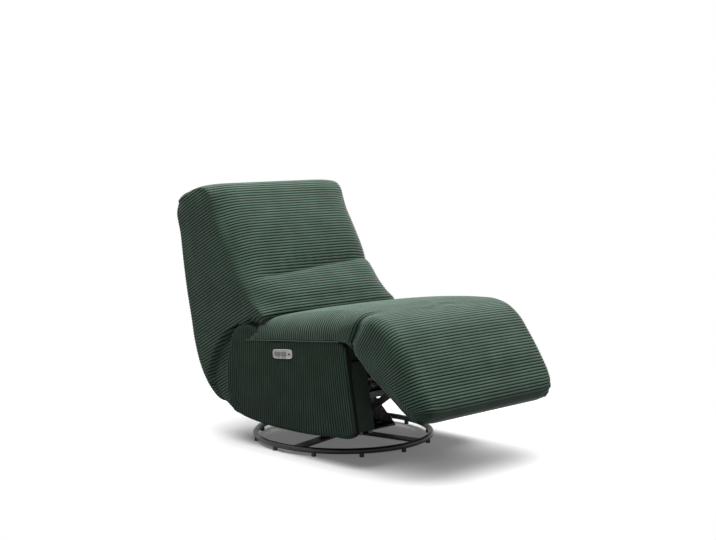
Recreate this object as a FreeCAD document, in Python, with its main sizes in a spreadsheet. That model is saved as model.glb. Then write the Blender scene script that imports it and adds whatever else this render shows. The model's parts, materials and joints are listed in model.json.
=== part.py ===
"""Armless power swivel rocker recliner, in the photographed pose: back upright, footrest half raised.

Millimetres. The origin is on the floor at the swivel axis.
+Z is up, the chair faces -Y and +X is the sitter's left.
"""
import FreeCAD
import Part
import Sketcher
import math
import os
import re

# Driving sizes

SIZES = {
    # Base ring on the floor
    "ring_outer_diameter": 720,
    "ring_tube_diameter": 22,
    "ring_tube_wall": 2,
    "base_yaw": 12,
    "glide_count": 12,
    "glide_diameter": 18,
    "glide_height": 12,
    "strap_width": 45,
    "strap_thickness": 8,
    # Swivel bearing
    "race_plate_diameter": 200,
    "race_plate_thickness": 5,
    "ball_diameter": 8,
    "ball_circle_diameter": 150,
    "kingpin_diameter": 20,
    "kingpin_cap_diameter": 32,
    "kingpin_cap_height": 9,
    "plate_bolt_radius": 48,
    "bolt_diameter": 8,
    "bolt_head_diameter": 14,
    "bolt_head_height": 5,
    # Clearances
    "running_clearance": 0.06,
    "face_clearance": 0.3,
    "link_gap": 3,
    # Rocker
    "rocker_plate_thickness": 5,
    "rocker_front": 140,
    "rocker_rear": 76,
    "rocker_spacing": 300,
    "rocker_steel": 4,
    "rocker_foot": 32,
    "rocker_height": 150,
    "rocker_lug": 24,
    "rocker_pin_diameter": 16,
    "spring_diameter": 36,
    "spring_wire": 5,
    "spring_turns": 7,
    "spring_spacing": 190,
    # Seat frame
    "seat_inner_width": 692,
    "board_thickness": 12,
    "side_pad_thickness": 10,
    "deck_rear_y": 200,
    "deck_rear_z": 404,
    "deck_front_y": -345,
    "deck_front_z": 457,
    "front_top_y": -378,
    "front_top_z": 438,
    "front_bottom_y": -434,
    "front_bottom_z": 140,
    "front_toe": 24,
    "bottom_front_z": 122,
    "bottom_sag_y": -20,
    "bottom_sag_z": 95,
    "bottom_rear_y": 250,
    "bottom_rear_z": 128,
    "side_rear_y": 288,
    "side_rear_z": 250,
    "side_shoulder_y": 262,
    "side_shoulder_z": 352,
    "stile_width": 80,
    "rail_board_thickness": 24,
    "front_rail_y": -376,
    "front_rail_depth": 62,
    "rear_rail_y": 100,
    "rear_rail_depth": 62,
    "rail_drop": 10,
    "cross_tube_width": 30,
    "cross_tube_height": 25,
    "cross_tube_wall": 2,
    "rocker_rise": 15,
    "cross_tube_bottom": "=rocker_height + rocker_rise",
    "cross_tube_front_y": -95,
    "cross_tube_rear_y": 62,
    "mech_steel": 4,
    "mech_rail_height": 42,
    "mech_rail_front": -345,
    "mech_rail_rear": 92,
    "rail_bolt_inset": 60,
    "rail_bolt_count": 3,
    "seat_wire": 4,
    "seat_spring_count": 5,
    "seat_spring_pitch": 125,
    "seat_spring_swing": 46,
    "seat_spring_loops": 12,
    # Seat cushion
    "seat_overhang": 8,
    "seat_crown": 90,
    "seat_rear_crown": 64,
    "seat_edge": 26,
    "soft_edge_share": 0.22,
    "seat_lip_angle": 60,
    "seat_corner_angle": 15,
    "seat_roll_share": 0.62,
    "knee_clearance": 5,
    "seat_back_y": 165,
    "seat_slope_y": 48,
    # Recline hinge and back
    "recline_y": 190,
    "recline_z": 385,
    "recline_pin_diameter": 14,
    "recline_lug": 28,
    "recline_steel": 3,
    "recline_plate_reach": 53,
    "recline_plate_angle": 205,
    "back_plate_reach": 84,
    "back_plate_angle": 30,
    "back_plate_eye": 22,
    "back_recess": 20,
    "tail_y": 163,
    "tail_z": 450,
    "tail_radius": 333,
    "tail_end_angle": 73,
    "tail_top_angle": 14,
    "tail_depth": 42,
    "tail_margin_angle": 2,
    "tail_neck_angle": 16,
    "tail_rail_angle": 6,
    "rear_mid_y": 546,
    "rear_mid_z": 640,
    "rear_top_y": 586,
    "rear_top_z": 925,
    "rear_lean": 10,
    "shell_thickness": 15,
    "lumbar_y": 58,
    "lumbar_z": 516,
    "crease_y": 184,
    "crease_z": 690,
    "crown_y": 372,
    "crown_z": 978,
    "back_pad_depth": 118,
    "back_pad_heel": 67,
    "back_side_draw": 58,
    "lumbar_bulge": 18,
    "side_bulge_share": 0.3,
    "upper_bulge": 20,
    "crease_depth": 12,
    "back_top_round": 42,
    "back_top_drop": 34,
    "top_pad_thickness": 14,
    "wing_thickness": 21.7,
    "wing_floor": 475,
    "back_rail_thickness": 24,
    "back_rail_depth": 60,
    "webbing_width": 50,
    "webbing_thickness": 3,
    "webbing_count": 6,
    # Footrest and its drive
    "knee_y": -490,
    "knee_z": 450,
    "knee_radius": 116,
    "knee_bore": 50,
    "barrel_rear_angle": 32,
    "barrel_face_angle": 144,
    "footrest_swell": 15,
    "barrel_edge_draw": 0.29,
    "toe_edge_draw": 0.05,
    "footrest_nose_drop": 10,
    "bracket_eye": 16.5,
    "bracket_start": 51,
    "knee_pin_diameter": 10,
    "knee_lug": 11,
    "footrest_pitch": 35.5,
    "footrest_under": 48,
    "footrest_start": 60,
    "footrest_heel": 45,
    "footrest_length": 330,
    "footrest_nose": 348,
    "footrest_face": 282,
    "footrest_board_thickness": 12,
    "footrest_board_inset": 46,
    "arm_inset": 9,
    "link_steel": 5,
    "crank_length": 150,
    "crank_angle": 245.5,
    "drive_y": -250,
    "drive_z": 285,
    "torque_tube_diameter": 25,
    "torque_tube_wall": 2.5,
    "link_pin_diameter": 10,
    "link_eye": 13,
    "rod_pin_eye": 17,
    "lever_drop": 45,
    "lever_angle": 260,
    "lever_play": 3.2,
    "lever_reach": 16,
    "lever_thickness": 6,
    "actuator_diameter": 36,
    "actuator_guide": 60,
    "fork_length": 30,
    "fork_steel": 5,
    "rod_diameter": 14,
    "rod_stroke": 55,
    "motor_length": 60,
    "motor_width": 62,
    "mount_height": 75,
    "mount_thickness": 6,
    "mount_width": 40,
    # Controls and small parts
    "panel_y": -50,
    "panel_z": 383,
    "panel_length": 108,
    "panel_height": 42,
    "panel_plate": 3,
    "panel_rim": 5,
    "housing_wall": 2,
    "button_length": 26,
    "button_height": 16,
    "button_pitch": 34,
    "button_proud": 2.5,
    "button_depth": 12,
    "button_offset": 28,
    "usb_offset": 38,
    "usb_width": 12,
    "usb_height": 5,
    "inlet_diameter": 12,
    "inlet_length": 16,
    "frame_glide_diameter": 14,
    "frame_glide_height": 11,
}

doc = FreeCAD.newDocument("rocker_recliner")
sheet = doc.addObject("Spreadsheet::Sheet", "dims")
for row, (alias, size) in enumerate(SIZES.items(), 1):
    sheet.set(f"A{row}", str(size))
    sheet.setAlias(f"A{row}", alias)
doc.recompute()

nodes = []
SIDES = (("left", 1), ("right", -1))


# Tools for writing pieces

def bound(text):
    """The expression text with each size name pointed at the sheet."""
    return re.sub(r"[a-z_]+", lambda word: "dims." + word[0] if word[0] in SIZES else word[0], str(text))


def number(text):
    """The present value of an expression in the sheet's sizes."""
    return float(sheet.evalExpression(bound(text)))


def keep(obj):
    """Count an object as one of the chair's pieces."""
    nodes.append(obj)
    return obj


def place(obj, where, axis="Z"):
    """Turn an object's own Z to the given axis and bind its position."""
    turns = {"X": ((0, 1, 0), 90), "Y": ((1, 0, 0), -90), "Z": ((0, 0, 1), 0)}
    direction, angle = turns[axis]
    obj.Placement = FreeCAD.Placement(FreeCAD.Vector(), FreeCAD.Rotation(FreeCAD.Vector(*direction), angle))
    for letter, text in zip("xyz", where):
        obj.setExpression(f"Placement.Base.{letter}", bound(text))
    return obj


def cylinder(name, diameter, length, where, axis="Z"):
    """A round bar from a point along one axis."""
    obj = doc.addObject("Part::Cylinder", name)
    obj.setExpression("Radius", bound(f"({diameter}) / 2"))
    obj.setExpression("Height", bound(length))
    return place(obj, where, axis)


def box(name, sizes, where):
    """A block with its low corner at a point."""
    obj = doc.addObject("Part::Box", name)
    for side, text in zip(("Length", "Width", "Height"), sizes):
        obj.setExpression(side, bound(text))
    return place(obj, where)


def torus(name, radius, tube, height):
    """A ring about the swivel axis."""
    obj = doc.addObject("Part::Torus", name)
    obj.setExpression("Radius1", bound(radius))
    obj.setExpression("Radius2", bound(tube))
    return place(obj, ("0", "0", height))


def cut(name, base, tool):
    """One object with another taken away."""
    obj = doc.addObject("Part::Cut", name)
    obj.Base = base
    obj.Tool = tool
    return obj


def fuse(name, members):
    """Objects welded into one solid."""
    obj = doc.addObject("Part::MultiFuse", name)
    obj.Shapes = members
    obj.Refine = True
    return obj


def group(name, members):
    """Like objects kept as separate solids of one piece."""
    obj = doc.addObject("Part::Compound", name)
    obj.Links = members
    return obj


def start(side, inner, depth):
    """Where a piece begins along X when it reaches from inner to inner + depth on one side."""
    return f"{inner}" if side > 0 else f"-({inner}) - ({depth})"


def hold_point(sketch, geometry, position, corner):
    """Bind a sketch point's two coordinates to expressions."""
    for kind, text in zip(("DistanceX", "DistanceY"), corner):
        index = sketch.addConstraint(Sketcher.Constraint(kind, -1, 1, geometry, position, number(text)))
        sketch.setExpression(f"Constraints[{index}]", bound(text))


def draw_loop(sketch, outline):
    """Draw a closed loop of corners (u, v), or (u, v, via u, via v) where an arc leads to the next."""
    spots = [FreeCAD.Vector(number(corner[0]), number(corner[1]), 0) for corner in outline]
    ends = []
    for index, corner in enumerate(outline):
        first, last = spots[index], spots[(index + 1) % len(spots)]
        if len(corner) == 2:
            edge = sketch.addGeometry(Part.LineSegment(first, last))
            ends.append((edge, 1, 2))
        else:
            via = FreeCAD.Vector(number(corner[2]), number(corner[3]), 0)
            anticlockwise = (via - first).cross(last - via).z > 0
            arc = Part.Arc(first, via, last) if anticlockwise else Part.Arc(last, via, first)
            edge = sketch.addGeometry(arc)
            ends.append((edge, 1, 2) if anticlockwise else (edge, 2, 1))
    for index, (edge, head, tail) in enumerate(ends):
        following = ends[(index + 1) % len(ends)]
        sketch.addConstraint(Sketcher.Constraint("Coincident", edge, tail, following[0], following[1]))
    for (edge, head, tail), corner in zip(ends, outline):
        hold_point(sketch, edge, head, corner[:2])
        if len(corner) == 4:
            mark = sketch.addGeometry(Part.Point(FreeCAD.Vector(number(corner[2]), number(corner[3]), 0)), True)
            hold_point(sketch, mark, 1, corner[2:])
            sketch.addConstraint(Sketcher.Constraint("PointOnObject", mark, 1, edge))


def draw_circle(sketch, u, v, diameter):
    """Draw a circle with its centre and diameter bound."""
    middle = FreeCAD.Vector(number(u), number(v), 0)
    edge = sketch.addGeometry(Part.Circle(middle, FreeCAD.Vector(0, 0, 1), number(diameter) / 2))
    hold_point(sketch, edge, 3, (u, v))
    index = sketch.addConstraint(Sketcher.Constraint("Diameter", edge, number(diameter)))
    sketch.setExpression(f"Constraints[{index}]", bound(diameter))


def plate(name, outline, begin, thickness, holes=(), cutouts=(), plane="YZ_Plane"):
    """A flat piece: an outline with round holes and cutouts, drawn on one plane and padded square to it."""
    body = doc.addObject("PartDesign::Body", name)
    sketch = body.newObject("Sketcher::SketchObject", name + "_outline")
    support = [feature for feature in body.Origin.OriginFeatures if feature.Role == plane][0]
    sketch.AttachmentSupport = (support, "")
    sketch.MapMode = "FlatFace"
    sketch.setExpression("AttachmentOffset.Base.z", bound(begin))
    for loop in (outline, *cutouts):
        draw_loop(sketch, loop)
    for hole in holes:
        draw_circle(sketch, *hole)
    pad = body.newObject("PartDesign::Pad", name + "_pad")
    pad.Profile = sketch
    pad.setExpression("Length", bound(thickness))
    return body


def polar(u, v, radius, angle):
    """The point at a radius and an angle in degrees from (u, v)."""
    return (f"({u}) + ({radius}) * cos({angle})", f"({v}) + ({radius}) * sin({angle})")


def arc_to(first, via):
    """A corner whose edge runs through via as an arc."""
    return (*first, *via)


def link_outline(first, second, eye_one, eye_two, angle):
    """A bar with round ends about two points, the second at an angle from the first."""
    return [
        arc_to(polar(*first, eye_one, f"{angle} + 90"), polar(*first, eye_one, f"{angle} + 180")),
        polar(*first, eye_one, f"{angle} - 90"),
        arc_to(polar(*second, eye_two, f"{angle} - 90"), polar(*second, eye_two, angle)),
        polar(*second, eye_two, f"{angle} + 90"),
    ]


def ring_wire(x, outline):
    """A closed wire of lines and arcs at one x, with corners written as for a sketch but in plain numbers."""
    edges = []
    for index, corner in enumerate(outline):
        following = outline[(index + 1) % len(outline)]
        first = FreeCAD.Vector(x, corner[0], corner[1])
        last = FreeCAD.Vector(x, following[0], following[1])
        if len(corner) == 2:
            edges.append(Part.LineSegment(first, last).toShape())
        else:
            edges.append(Part.Arc(first, FreeCAD.Vector(x, corner[2], corner[3]), last).toShape())
    return Part.Wire(edges)


def loft_across(name, width, stations, outline_at):
    """A soft form lofted across X through one outline per station, a share of the half width from -1 to 1."""
    half = number(width) / 2
    wires = [ring_wire(half * station, outline_at(station)) for station in stations]
    feature = doc.addObject("Part::Feature", name)
    feature.Shape = Part.makeLoft(wires, True, False)
    return feature


def wire_solid(edges, diameter, normal):
    """A round wire swept along lines and arcs that meet smoothly."""
    path = Part.Wire(edges)
    circle = Part.Circle(edges[0].valueAt(edges[0].FirstParameter), FreeCAD.Vector(*normal), diameter / 2)
    return path.makePipeShell([Part.Wire([circle.toShape()])], True, False)


def pair(name, make):
    """The left and right copies of a piece as two solids of one piece."""
    return keep(group(name, [make(f"{name}_{side_name}", side) for side_name, side in SIDES]))


def cross_strip(name, outline, half_width):
    """A piece with one outline all the way across X."""
    return plate(name, outline, f"-({half_width})", f"2 * ({half_width})")


STATIONS = [math.sin(math.radians(turn)) for turn in range(-90, 91, 15)]


def crown_share(station):
    """The crown left at a station: all of it over the middle, then a quarter round down to the side."""
    edge = number("soft_edge_share")
    turn = max(0, abs(station) - (1 - edge)) / edge
    return math.sqrt(max(0, 1 - turn ** 2))


def bulge_share(station):
    """The bulge left at a station: the crown's share, but never less than the side's own share."""
    side = number("side_bulge_share")
    return side + (1 - side) * crown_share(station)


# Base: a floor ring with two crossing straps, glides and the lower half of the swivel

RING_RADIUS = "(ring_outer_diameter - ring_tube_diameter) / 2"
RING_HEIGHT = "glide_height + ring_tube_diameter / 2"
STRAP_TOP = f"{RING_HEIGHT} + strap_thickness"
RACE_TOP = f"{STRAP_TOP} + race_plate_thickness"
UPPER_PLATE = f"{RACE_TOP} + ball_diameter + running_clearance"
ROCKER_FLOOR = f"{UPPER_PLATE} + rocker_plate_thickness"


def turned_rectangle(length, width, angle):
    """The corners of a rectangle about the origin, turned by an angle."""
    corners = ((1, 1), (-1, 1), (-1, -1), (1, -1))
    return [(f"{u} * ({length}) / 2 * cos({angle}) - {v} * ({width}) / 2 * sin({angle})",
             f"{u} * ({length}) / 2 * sin({angle}) + {v} * ({width}) / 2 * cos({angle})") for u, v in corners]


ring_outside = torus("ring_outside", RING_RADIUS, "ring_tube_diameter / 2", RING_HEIGHT)
ring_bore = torus("ring_bore", RING_RADIUS, "ring_tube_diameter / 2 - ring_tube_wall", RING_HEIGHT)
keep(cut("base_ring", ring_outside, ring_bore))

glide_bars = []
for index in range(int(SIZES["glide_count"])):
    angle = f"base_yaw + ({index} + 0.5) * 360 / glide_count"
    spot = (*polar("0", "0", RING_RADIUS, angle), "0")
    glide_bars.append(cylinder(f"glide_bar_{index}", "glide_diameter", RING_HEIGHT, spot))
keep(cut("floor_glides", group("glide_bars", glide_bars), ring_outside))

BOLT_SPOTS = [polar("0", "0", "plate_bolt_radius", f"base_yaw + {angle}") for angle in (90, 270)]
BOLT_HOLES = [(*spot, "bolt_diameter") for spot in BOLT_SPOTS]
side_strap = plate("side_strap_bar", turned_rectangle(f"2 * ({RING_RADIUS})", "strap_width", "base_yaw"),
                   f"{RING_HEIGHT} - strap_thickness", "strap_thickness", plane="XY_Plane")
keep(cut("cross_strap_side", side_strap, ring_outside))
front_strap = plate("front_strap_bar", turned_rectangle(f"2 * ({RING_RADIUS})", "strap_width", "base_yaw + 90"),
                    RING_HEIGHT, "strap_thickness", holes=BOLT_HOLES, plane="XY_Plane")
keep(cut("cross_strap_front", front_strap, ring_outside))

race_disc = cylinder("race_disc", "race_plate_diameter", "race_plate_thickness", ("0", "0", STRAP_TOP))
race_holes = [cylinder("kingpin_hole", "kingpin_diameter", "race_plate_thickness", ("0", "0", STRAP_TOP))]
for index, spot in enumerate(BOLT_SPOTS):
    race_holes.append(cylinder(f"race_hole_{index}", "bolt_diameter", "race_plate_thickness",
                               (*spot, STRAP_TOP)))
keep(cut("swivel_lower_plate", race_disc, group("race_holes", race_holes)))

CAP_FLOOR = f"{ROCKER_FLOOR} + face_clearance"
king_stud = cylinder("king_stud", "kingpin_diameter", f"{CAP_FLOOR} - ({STRAP_TOP})", ("0", "0", STRAP_TOP))
king_cap = cylinder("king_cap", "kingpin_cap_diameter", "kingpin_cap_height", ("0", "0", CAP_FLOOR))
keep(fuse("swivel_kingpin", [king_stud, king_cap]))

BALL_COUNT = int(math.pi * SIZES["ball_circle_diameter"] / (2.4 * SIZES["ball_diameter"]))
balls = []
for index in range(BALL_COUNT):
    ball = doc.addObject("Part::Sphere", f"ball_{index}")
    ball.setExpression("Radius", bound("ball_diameter / 2"))
    spot = polar("0", "0", "ball_circle_diameter / 2", f"{index} * 360 / {BALL_COUNT}")
    balls.append(place(ball, (*spot, f"{RACE_TOP} + ball_diameter / 2")))
keep(group("bearing_balls", balls))

plate_bolts = []
for index, spot in enumerate(BOLT_SPOTS):
    shank = cylinder(f"plate_bolt_shank_{index}", "bolt_diameter", "strap_thickness + race_plate_thickness",
                     (*spot, RING_HEIGHT))
    head = cylinder(f"plate_bolt_head_{index}", "bolt_head_diameter", "bolt_head_height", (*spot, RACE_TOP))
    plate_bolts.append(fuse(f"plate_bolt_{index}", [shank, head]))
keep(group("swivel_plate_bolts", plate_bolts))


# Swivel: the turning plate with the rocker brackets, pins and coil springs

BRACKET_OUTER = "rocker_spacing / 2 + rocker_steel"
ARM_INNER = f"{BRACKET_OUTER} + link_gap / 2"
plate_outline = [(f"{u} * ({BRACKET_OUTER})", v) for u, v in
                 ((1, "rocker_rear"), (-1, "rocker_rear"), (-1, "-rocker_front"), (1, "-rocker_front"))]
keep(plate("swivel_upper_plate", plate_outline, UPPER_PLATE, "rocker_plate_thickness",
           holes=[("0", "0", "kingpin_diameter + 2 * running_clearance")], plane="XY_Plane"))


def rocker_base(name, side):
    """An angle bracket on the turning plate: a foot and an upright with the pin's hole."""
    upright = plate(f"{name}_upright", [
        ("-rocker_front", ROCKER_FLOOR),
        ("rocker_rear", ROCKER_FLOOR),
        ("rocker_lug", "rocker_height", "0", "rocker_height + rocker_lug"),
        ("-rocker_lug", "rocker_height"),
    ], start(side, "rocker_spacing / 2", "rocker_steel"), "rocker_steel",
        holes=[("0", "rocker_height", "rocker_pin_diameter")])
    foot = box(f"{name}_foot", ("rocker_foot", "rocker_front + rocker_rear", "rocker_steel"),
               (start(side, "rocker_spacing / 2 - rocker_foot", "rocker_foot"), "-rocker_front", ROCKER_FLOOR))
    return fuse(name, [upright, foot])


pair("rocker_bases", rocker_base)
PIN_INNER = "rocker_spacing / 2 - rocker_steel"
PIN_LENGTH = "4 * rocker_steel + link_gap / 2"
pair("rocker_pins", lambda name, side: cylinder(
    name, "rocker_pin_diameter", PIN_LENGTH, (start(side, PIN_INNER, PIN_LENGTH), "0", "rocker_height"), "X"))


def coil_spring(x, y, low, high):
    """A coil from half turns, each an arc that climbs half a pitch, and the path's edges."""
    radius = number("spring_diameter") / 2
    wire = number("spring_wire")
    turns = int(number("spring_turns"))
    rise = (high - low - wire) / (2 * turns)
    edges = []
    for half in range(2 * turns):
        way = 1 if half % 2 == 0 else -1
        level = low + wire / 2 + half * rise
        edges.append(Part.Arc(FreeCAD.Vector(x + way * radius, y, level),
                              FreeCAD.Vector(x, y + way * radius, level + rise / 2),
                              FreeCAD.Vector(x - way * radius, y, level + rise)).toShape())
    return wire_solid(edges, wire, edges[0].tangentAt(edges[0].FirstParameter)), edges


def least_gap(edges, diameter, per_edge=16):
    """The least gap of a wire to itself, on points of its path at least one edge apart."""
    points = [point for edge in edges for point in edge.discretize(per_edge)]
    return min((first - second).Length for index, first in enumerate(points)
               for second in points[index + 2 * per_edge - 1:]) - diameter


coils = []
for y in ("cross_tube_front_y", "cross_tube_rear_y"):
    for side in (1, -1):
        coil, path = coil_spring(side * number("spring_spacing") / 2, number(y),
                                 number(ROCKER_FLOOR), number("cross_tube_bottom"))
        coils.append(coil)
springs = doc.addObject("Part::Feature", "rocker_springs")
springs.Shape = Part.makeCompound(coils)
keep(springs)
print(f"least gap between spring turns {least_gap(path, number('spring_wire')):.2f} mm")


# Seat frame: rocker arms, cross tubes, steel rails, plywood sides, rails and wire springs

FRAME_HALF = "seat_inner_width / 2"
FRAME_OUTER = f"{FRAME_HALF} + board_thickness"
SEAT_WIDTH = f"2 * ({FRAME_OUTER} + seat_overhang)"
RAIL_INNER = f"{FRAME_HALF} - mech_steel"
TUBE_TOP = "cross_tube_bottom + cross_tube_height"
DECK_SLOPE = "(deck_front_z - deck_rear_z) / (deck_front_y - deck_rear_y)"
FRONT_SLOPE = "(front_bottom_y - front_top_y) / (front_bottom_z - front_top_z)"


def deck_height(y):
    """The height of the side boards' top line at y."""
    return f"(deck_rear_z + {DECK_SLOPE} * (({y}) - deck_rear_y))"


def front_line(z):
    """Where the side boards' front edge stands at height z."""
    return f"(front_top_y + {FRONT_SLOPE} * (({z}) - front_top_z))"


SIDE_OUTLINE = [
    ("deck_rear_y", "deck_rear_z"),
    ("deck_front_y", "deck_front_z"),
    ("front_top_y", "front_top_z"),
    ("front_bottom_y", "front_bottom_z"),
    ("front_bottom_y + front_toe", "bottom_front_z", "bottom_sag_y", "bottom_sag_z"),
    ("bottom_rear_y", "bottom_rear_z", "side_rear_y", "side_rear_z"),
    ("side_shoulder_y", "side_shoulder_z"),
]
RAIL_TOP = "cross_tube_bottom + mech_rail_height"
BOLT_RUN = "(mech_rail_rear - mech_rail_front - 2 * rail_bolt_inset) / (rail_bolt_count - 1)"
RAIL_MIDDLE = "cross_tube_bottom + mech_rail_height / 2"
RAIL_BOLTS = [(f"mech_rail_front + rail_bolt_inset + {index} * {BOLT_RUN}", RAIL_MIDDLE)
              for index in range(int(SIZES["rail_bolt_count"]))]
RAIL_HOLES = [(*spot, "bolt_diameter") for spot in RAIL_BOLTS]
FRONT_RAIL_TOP = f"{deck_height('front_rail_y')} - rail_drop"
FRONT_RAIL_BOTTOM = f"{FRONT_RAIL_TOP} - front_rail_depth"
REAR_RAIL_TOP = f"{deck_height('rear_rail_y')} - rail_drop"
PANEL_TILT = f"atan({DECK_SLOPE})"


def panel_point(along, up):
    """A point on the tilted control panel, from its middle."""
    return (f"panel_y + ({along}) * cos({PANEL_TILT}) - ({up}) * sin({PANEL_TILT})",
            f"panel_z + ({along}) * sin({PANEL_TILT}) + ({up}) * cos({PANEL_TILT})")


def panel_rectangle(along, length, height):
    """A rectangle on the tilted control panel."""
    return [panel_point(f"{along} + {u} * ({length}) / 2", f"{v} * ({height}) / 2")
            for u, v in ((1, 1), (-1, 1), (-1, -1), (1, -1))]


POCKET_LENGTH = "panel_length - 2 * panel_rim"
POCKET_HEIGHT = "panel_height - 2 * panel_rim"
POCKET = panel_rectangle("0", POCKET_LENGTH, POCKET_HEIGHT)


def rocker_arm(name, side):
    """A welded lug plate under the cross tubes, which turns on the rocker pin."""
    return plate(name, [
        ("cross_tube_front_y - cross_tube_width / 2", "cross_tube_bottom"),
        ("-rocker_lug", "rocker_height", "0", "rocker_height - rocker_lug"),
        ("rocker_lug", "rocker_height"),
        ("cross_tube_rear_y + cross_tube_width / 2", "cross_tube_bottom"),
    ], start(side, ARM_INNER, "rocker_steel"), "rocker_steel",
        holes=[("0", "rocker_height", "rocker_pin_diameter + 2 * running_clearance")])


def mech_rail(name, side):
    """A steel rail along the side board, with a tower that carries the torque tube."""
    tower = "torque_tube_diameter"
    return plate(name, [
        ("mech_rail_front", "cross_tube_bottom"),
        ("mech_rail_rear", "cross_tube_bottom"),
        ("mech_rail_rear", RAIL_TOP),
        (f"drive_y + 2 * {tower}", RAIL_TOP),
        (f"drive_y + {tower}", "drive_z", "drive_y", f"drive_z + {tower}"),
        (f"drive_y - {tower}", "drive_z"),
        (f"drive_y - 2 * {tower}", RAIL_TOP),
        ("mech_rail_front", RAIL_TOP),
    ], start(side, RAIL_INNER, "mech_steel"), "mech_steel",
        holes=[("drive_y", "drive_z", "torque_tube_diameter + 2 * running_clearance"), *RAIL_HOLES])


def front_stile(name, side):
    """The board that returns from the side panel's front edge."""
    return plate(name, [
        (front_line("front_bottom_z"), "front_bottom_z"),
        (f"{front_line('front_bottom_z')} + board_thickness", "front_bottom_z"),
        (f"{front_line(FRONT_RAIL_BOTTOM)} + board_thickness", FRONT_RAIL_BOTTOM),
        (front_line(FRONT_RAIL_BOTTOM), FRONT_RAIL_BOTTOM),
    ], start(side, f"{FRAME_HALF} - stile_width", "stile_width"), "stile_width")


def cross_tube(name, y):
    """A rectangular steel tube between the two rails."""
    length = f"2 * ({RAIL_INNER})"
    outside = box(f"{name}_outside", (length, "cross_tube_width", "cross_tube_height"),
                  (f"-({RAIL_INNER})", f"{y} - cross_tube_width / 2", "cross_tube_bottom"))
    bore = box(f"{name}_bore", (length, "cross_tube_width - 2 * cross_tube_wall",
                                "cross_tube_height - 2 * cross_tube_wall"),
               (f"-({RAIL_INNER})", f"{y} - cross_tube_width / 2 + cross_tube_wall",
                "cross_tube_bottom + cross_tube_wall"))
    return keep(cut(name, outside, bore))


pair("rocker_arms", rocker_arm)
pair("mech_rails", mech_rail)
pair("front_stiles", front_stile)
cross_tube("front_cross_tube", "cross_tube_front_y")
cross_tube("rear_cross_tube", "cross_tube_rear_y")

for name, side in SIDES:
    pocket = [POCKET] if side < 0 else []
    keep(plate(f"side_frame_{name}", SIDE_OUTLINE,
               start(side, FRAME_HALF, "board_thickness"), "board_thickness",
               holes=[*RAIL_HOLES, ("recline_y", "recline_z", "recline_pin_diameter")], cutouts=pocket))
    keep(plate(f"side_pad_{name}", SIDE_OUTLINE, start(side, FRAME_OUTER, "side_pad_thickness"),
               "side_pad_thickness", cutouts=pocket))

for name, y, top, depth in (("seat_front_rail", "front_rail_y", FRONT_RAIL_TOP, "front_rail_depth"),
                            ("seat_rear_rail", "rear_rail_y", REAR_RAIL_TOP, "rear_rail_depth")):
    keep(cross_strip(name, [(y, f"{top} - {depth}"), (f"{y} + rail_board_thickness", f"{top} - {depth}"),
                            (f"{y} + rail_board_thickness", top), (y, top)], FRAME_HALF))

rail_bolts = []
for name, side in SIDES:
    for index, spot in enumerate(RAIL_BOLTS):
        shank = cylinder(f"rail_bolt_shank_{name}_{index}", "bolt_diameter", "mech_steel + board_thickness",
                         (start(side, RAIL_INNER, "mech_steel + board_thickness"), *spot), "X")
        head = cylinder(f"rail_bolt_head_{name}_{index}", "bolt_head_diameter", "bolt_head_height",
                        (start(side, f"{RAIL_INNER} - bolt_head_height", "bolt_head_height"), *spot), "X")
        rail_bolts.append(fuse(f"rail_bolt_{name}_{index}", [shank, head]))
keep(group("rail_bolts", rail_bolts))

frame_glides = []
for name, side in SIDES:
    for index, inset in enumerate(("frame_glide_diameter", "stile_width - frame_glide_diameter")):
        spot = (f"{side} * ({FRAME_HALF} - ({inset}))", f"{front_line('front_bottom_z')} + board_thickness / 2",
                "front_bottom_z - frame_glide_height")
        frame_glides.append(cylinder(f"frame_glide_{name}_{index}", "frame_glide_diameter",
                                     "frame_glide_height", spot))
keep(group("frame_glides", frame_glides))


def sinuous_spring(x):
    """A zigzag wire from the front rail to the rear rail: runs across X joined by half circles."""
    wire = number("seat_wire")
    lift = wire / 2 + number("face_clearance")
    dip = number(f"-({DECK_SLOPE}) * rail_board_thickness / 2")
    half = number("rail_board_thickness") / 2
    front = FreeCAD.Vector(x, number("front_rail_y") + half, number(FRONT_RAIL_TOP) + lift + dip)
    rear = FreeCAD.Vector(x, number("rear_rail_y") + half, number(REAR_RAIL_TOP) + lift)
    loops = int(number("seat_spring_loops"))
    step = (rear - front) / loops
    swing = FreeCAD.Vector(number("seat_spring_swing") / 2, 0, 0)
    bulge = FreeCAD.Vector(step.Length / 2, 0, 0)
    edges = []
    for index in range(loops + 1):
        way = 1 if index % 2 == 0 else -1
        near, far = front + step * index - swing * way, front + step * index + swing * way
        edges.append(Part.LineSegment(near, far).toShape())
        if index < loops:
            edges.append(Part.Arc(far, far + step / 2 + bulge * way, far + step).toShape())
    return wire_solid(edges, wire, (1, 0, 0))


wires = []
for index in range(int(SIZES["seat_spring_count"])):
    wires.append(sinuous_spring((index - (SIZES["seat_spring_count"] - 1) / 2) * number("seat_spring_pitch")))
seat_springs = doc.addObject("Part::Feature", "seat_springs")
seat_springs.Shape = Part.makeCompound(wires)
keep(seat_springs)


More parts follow.
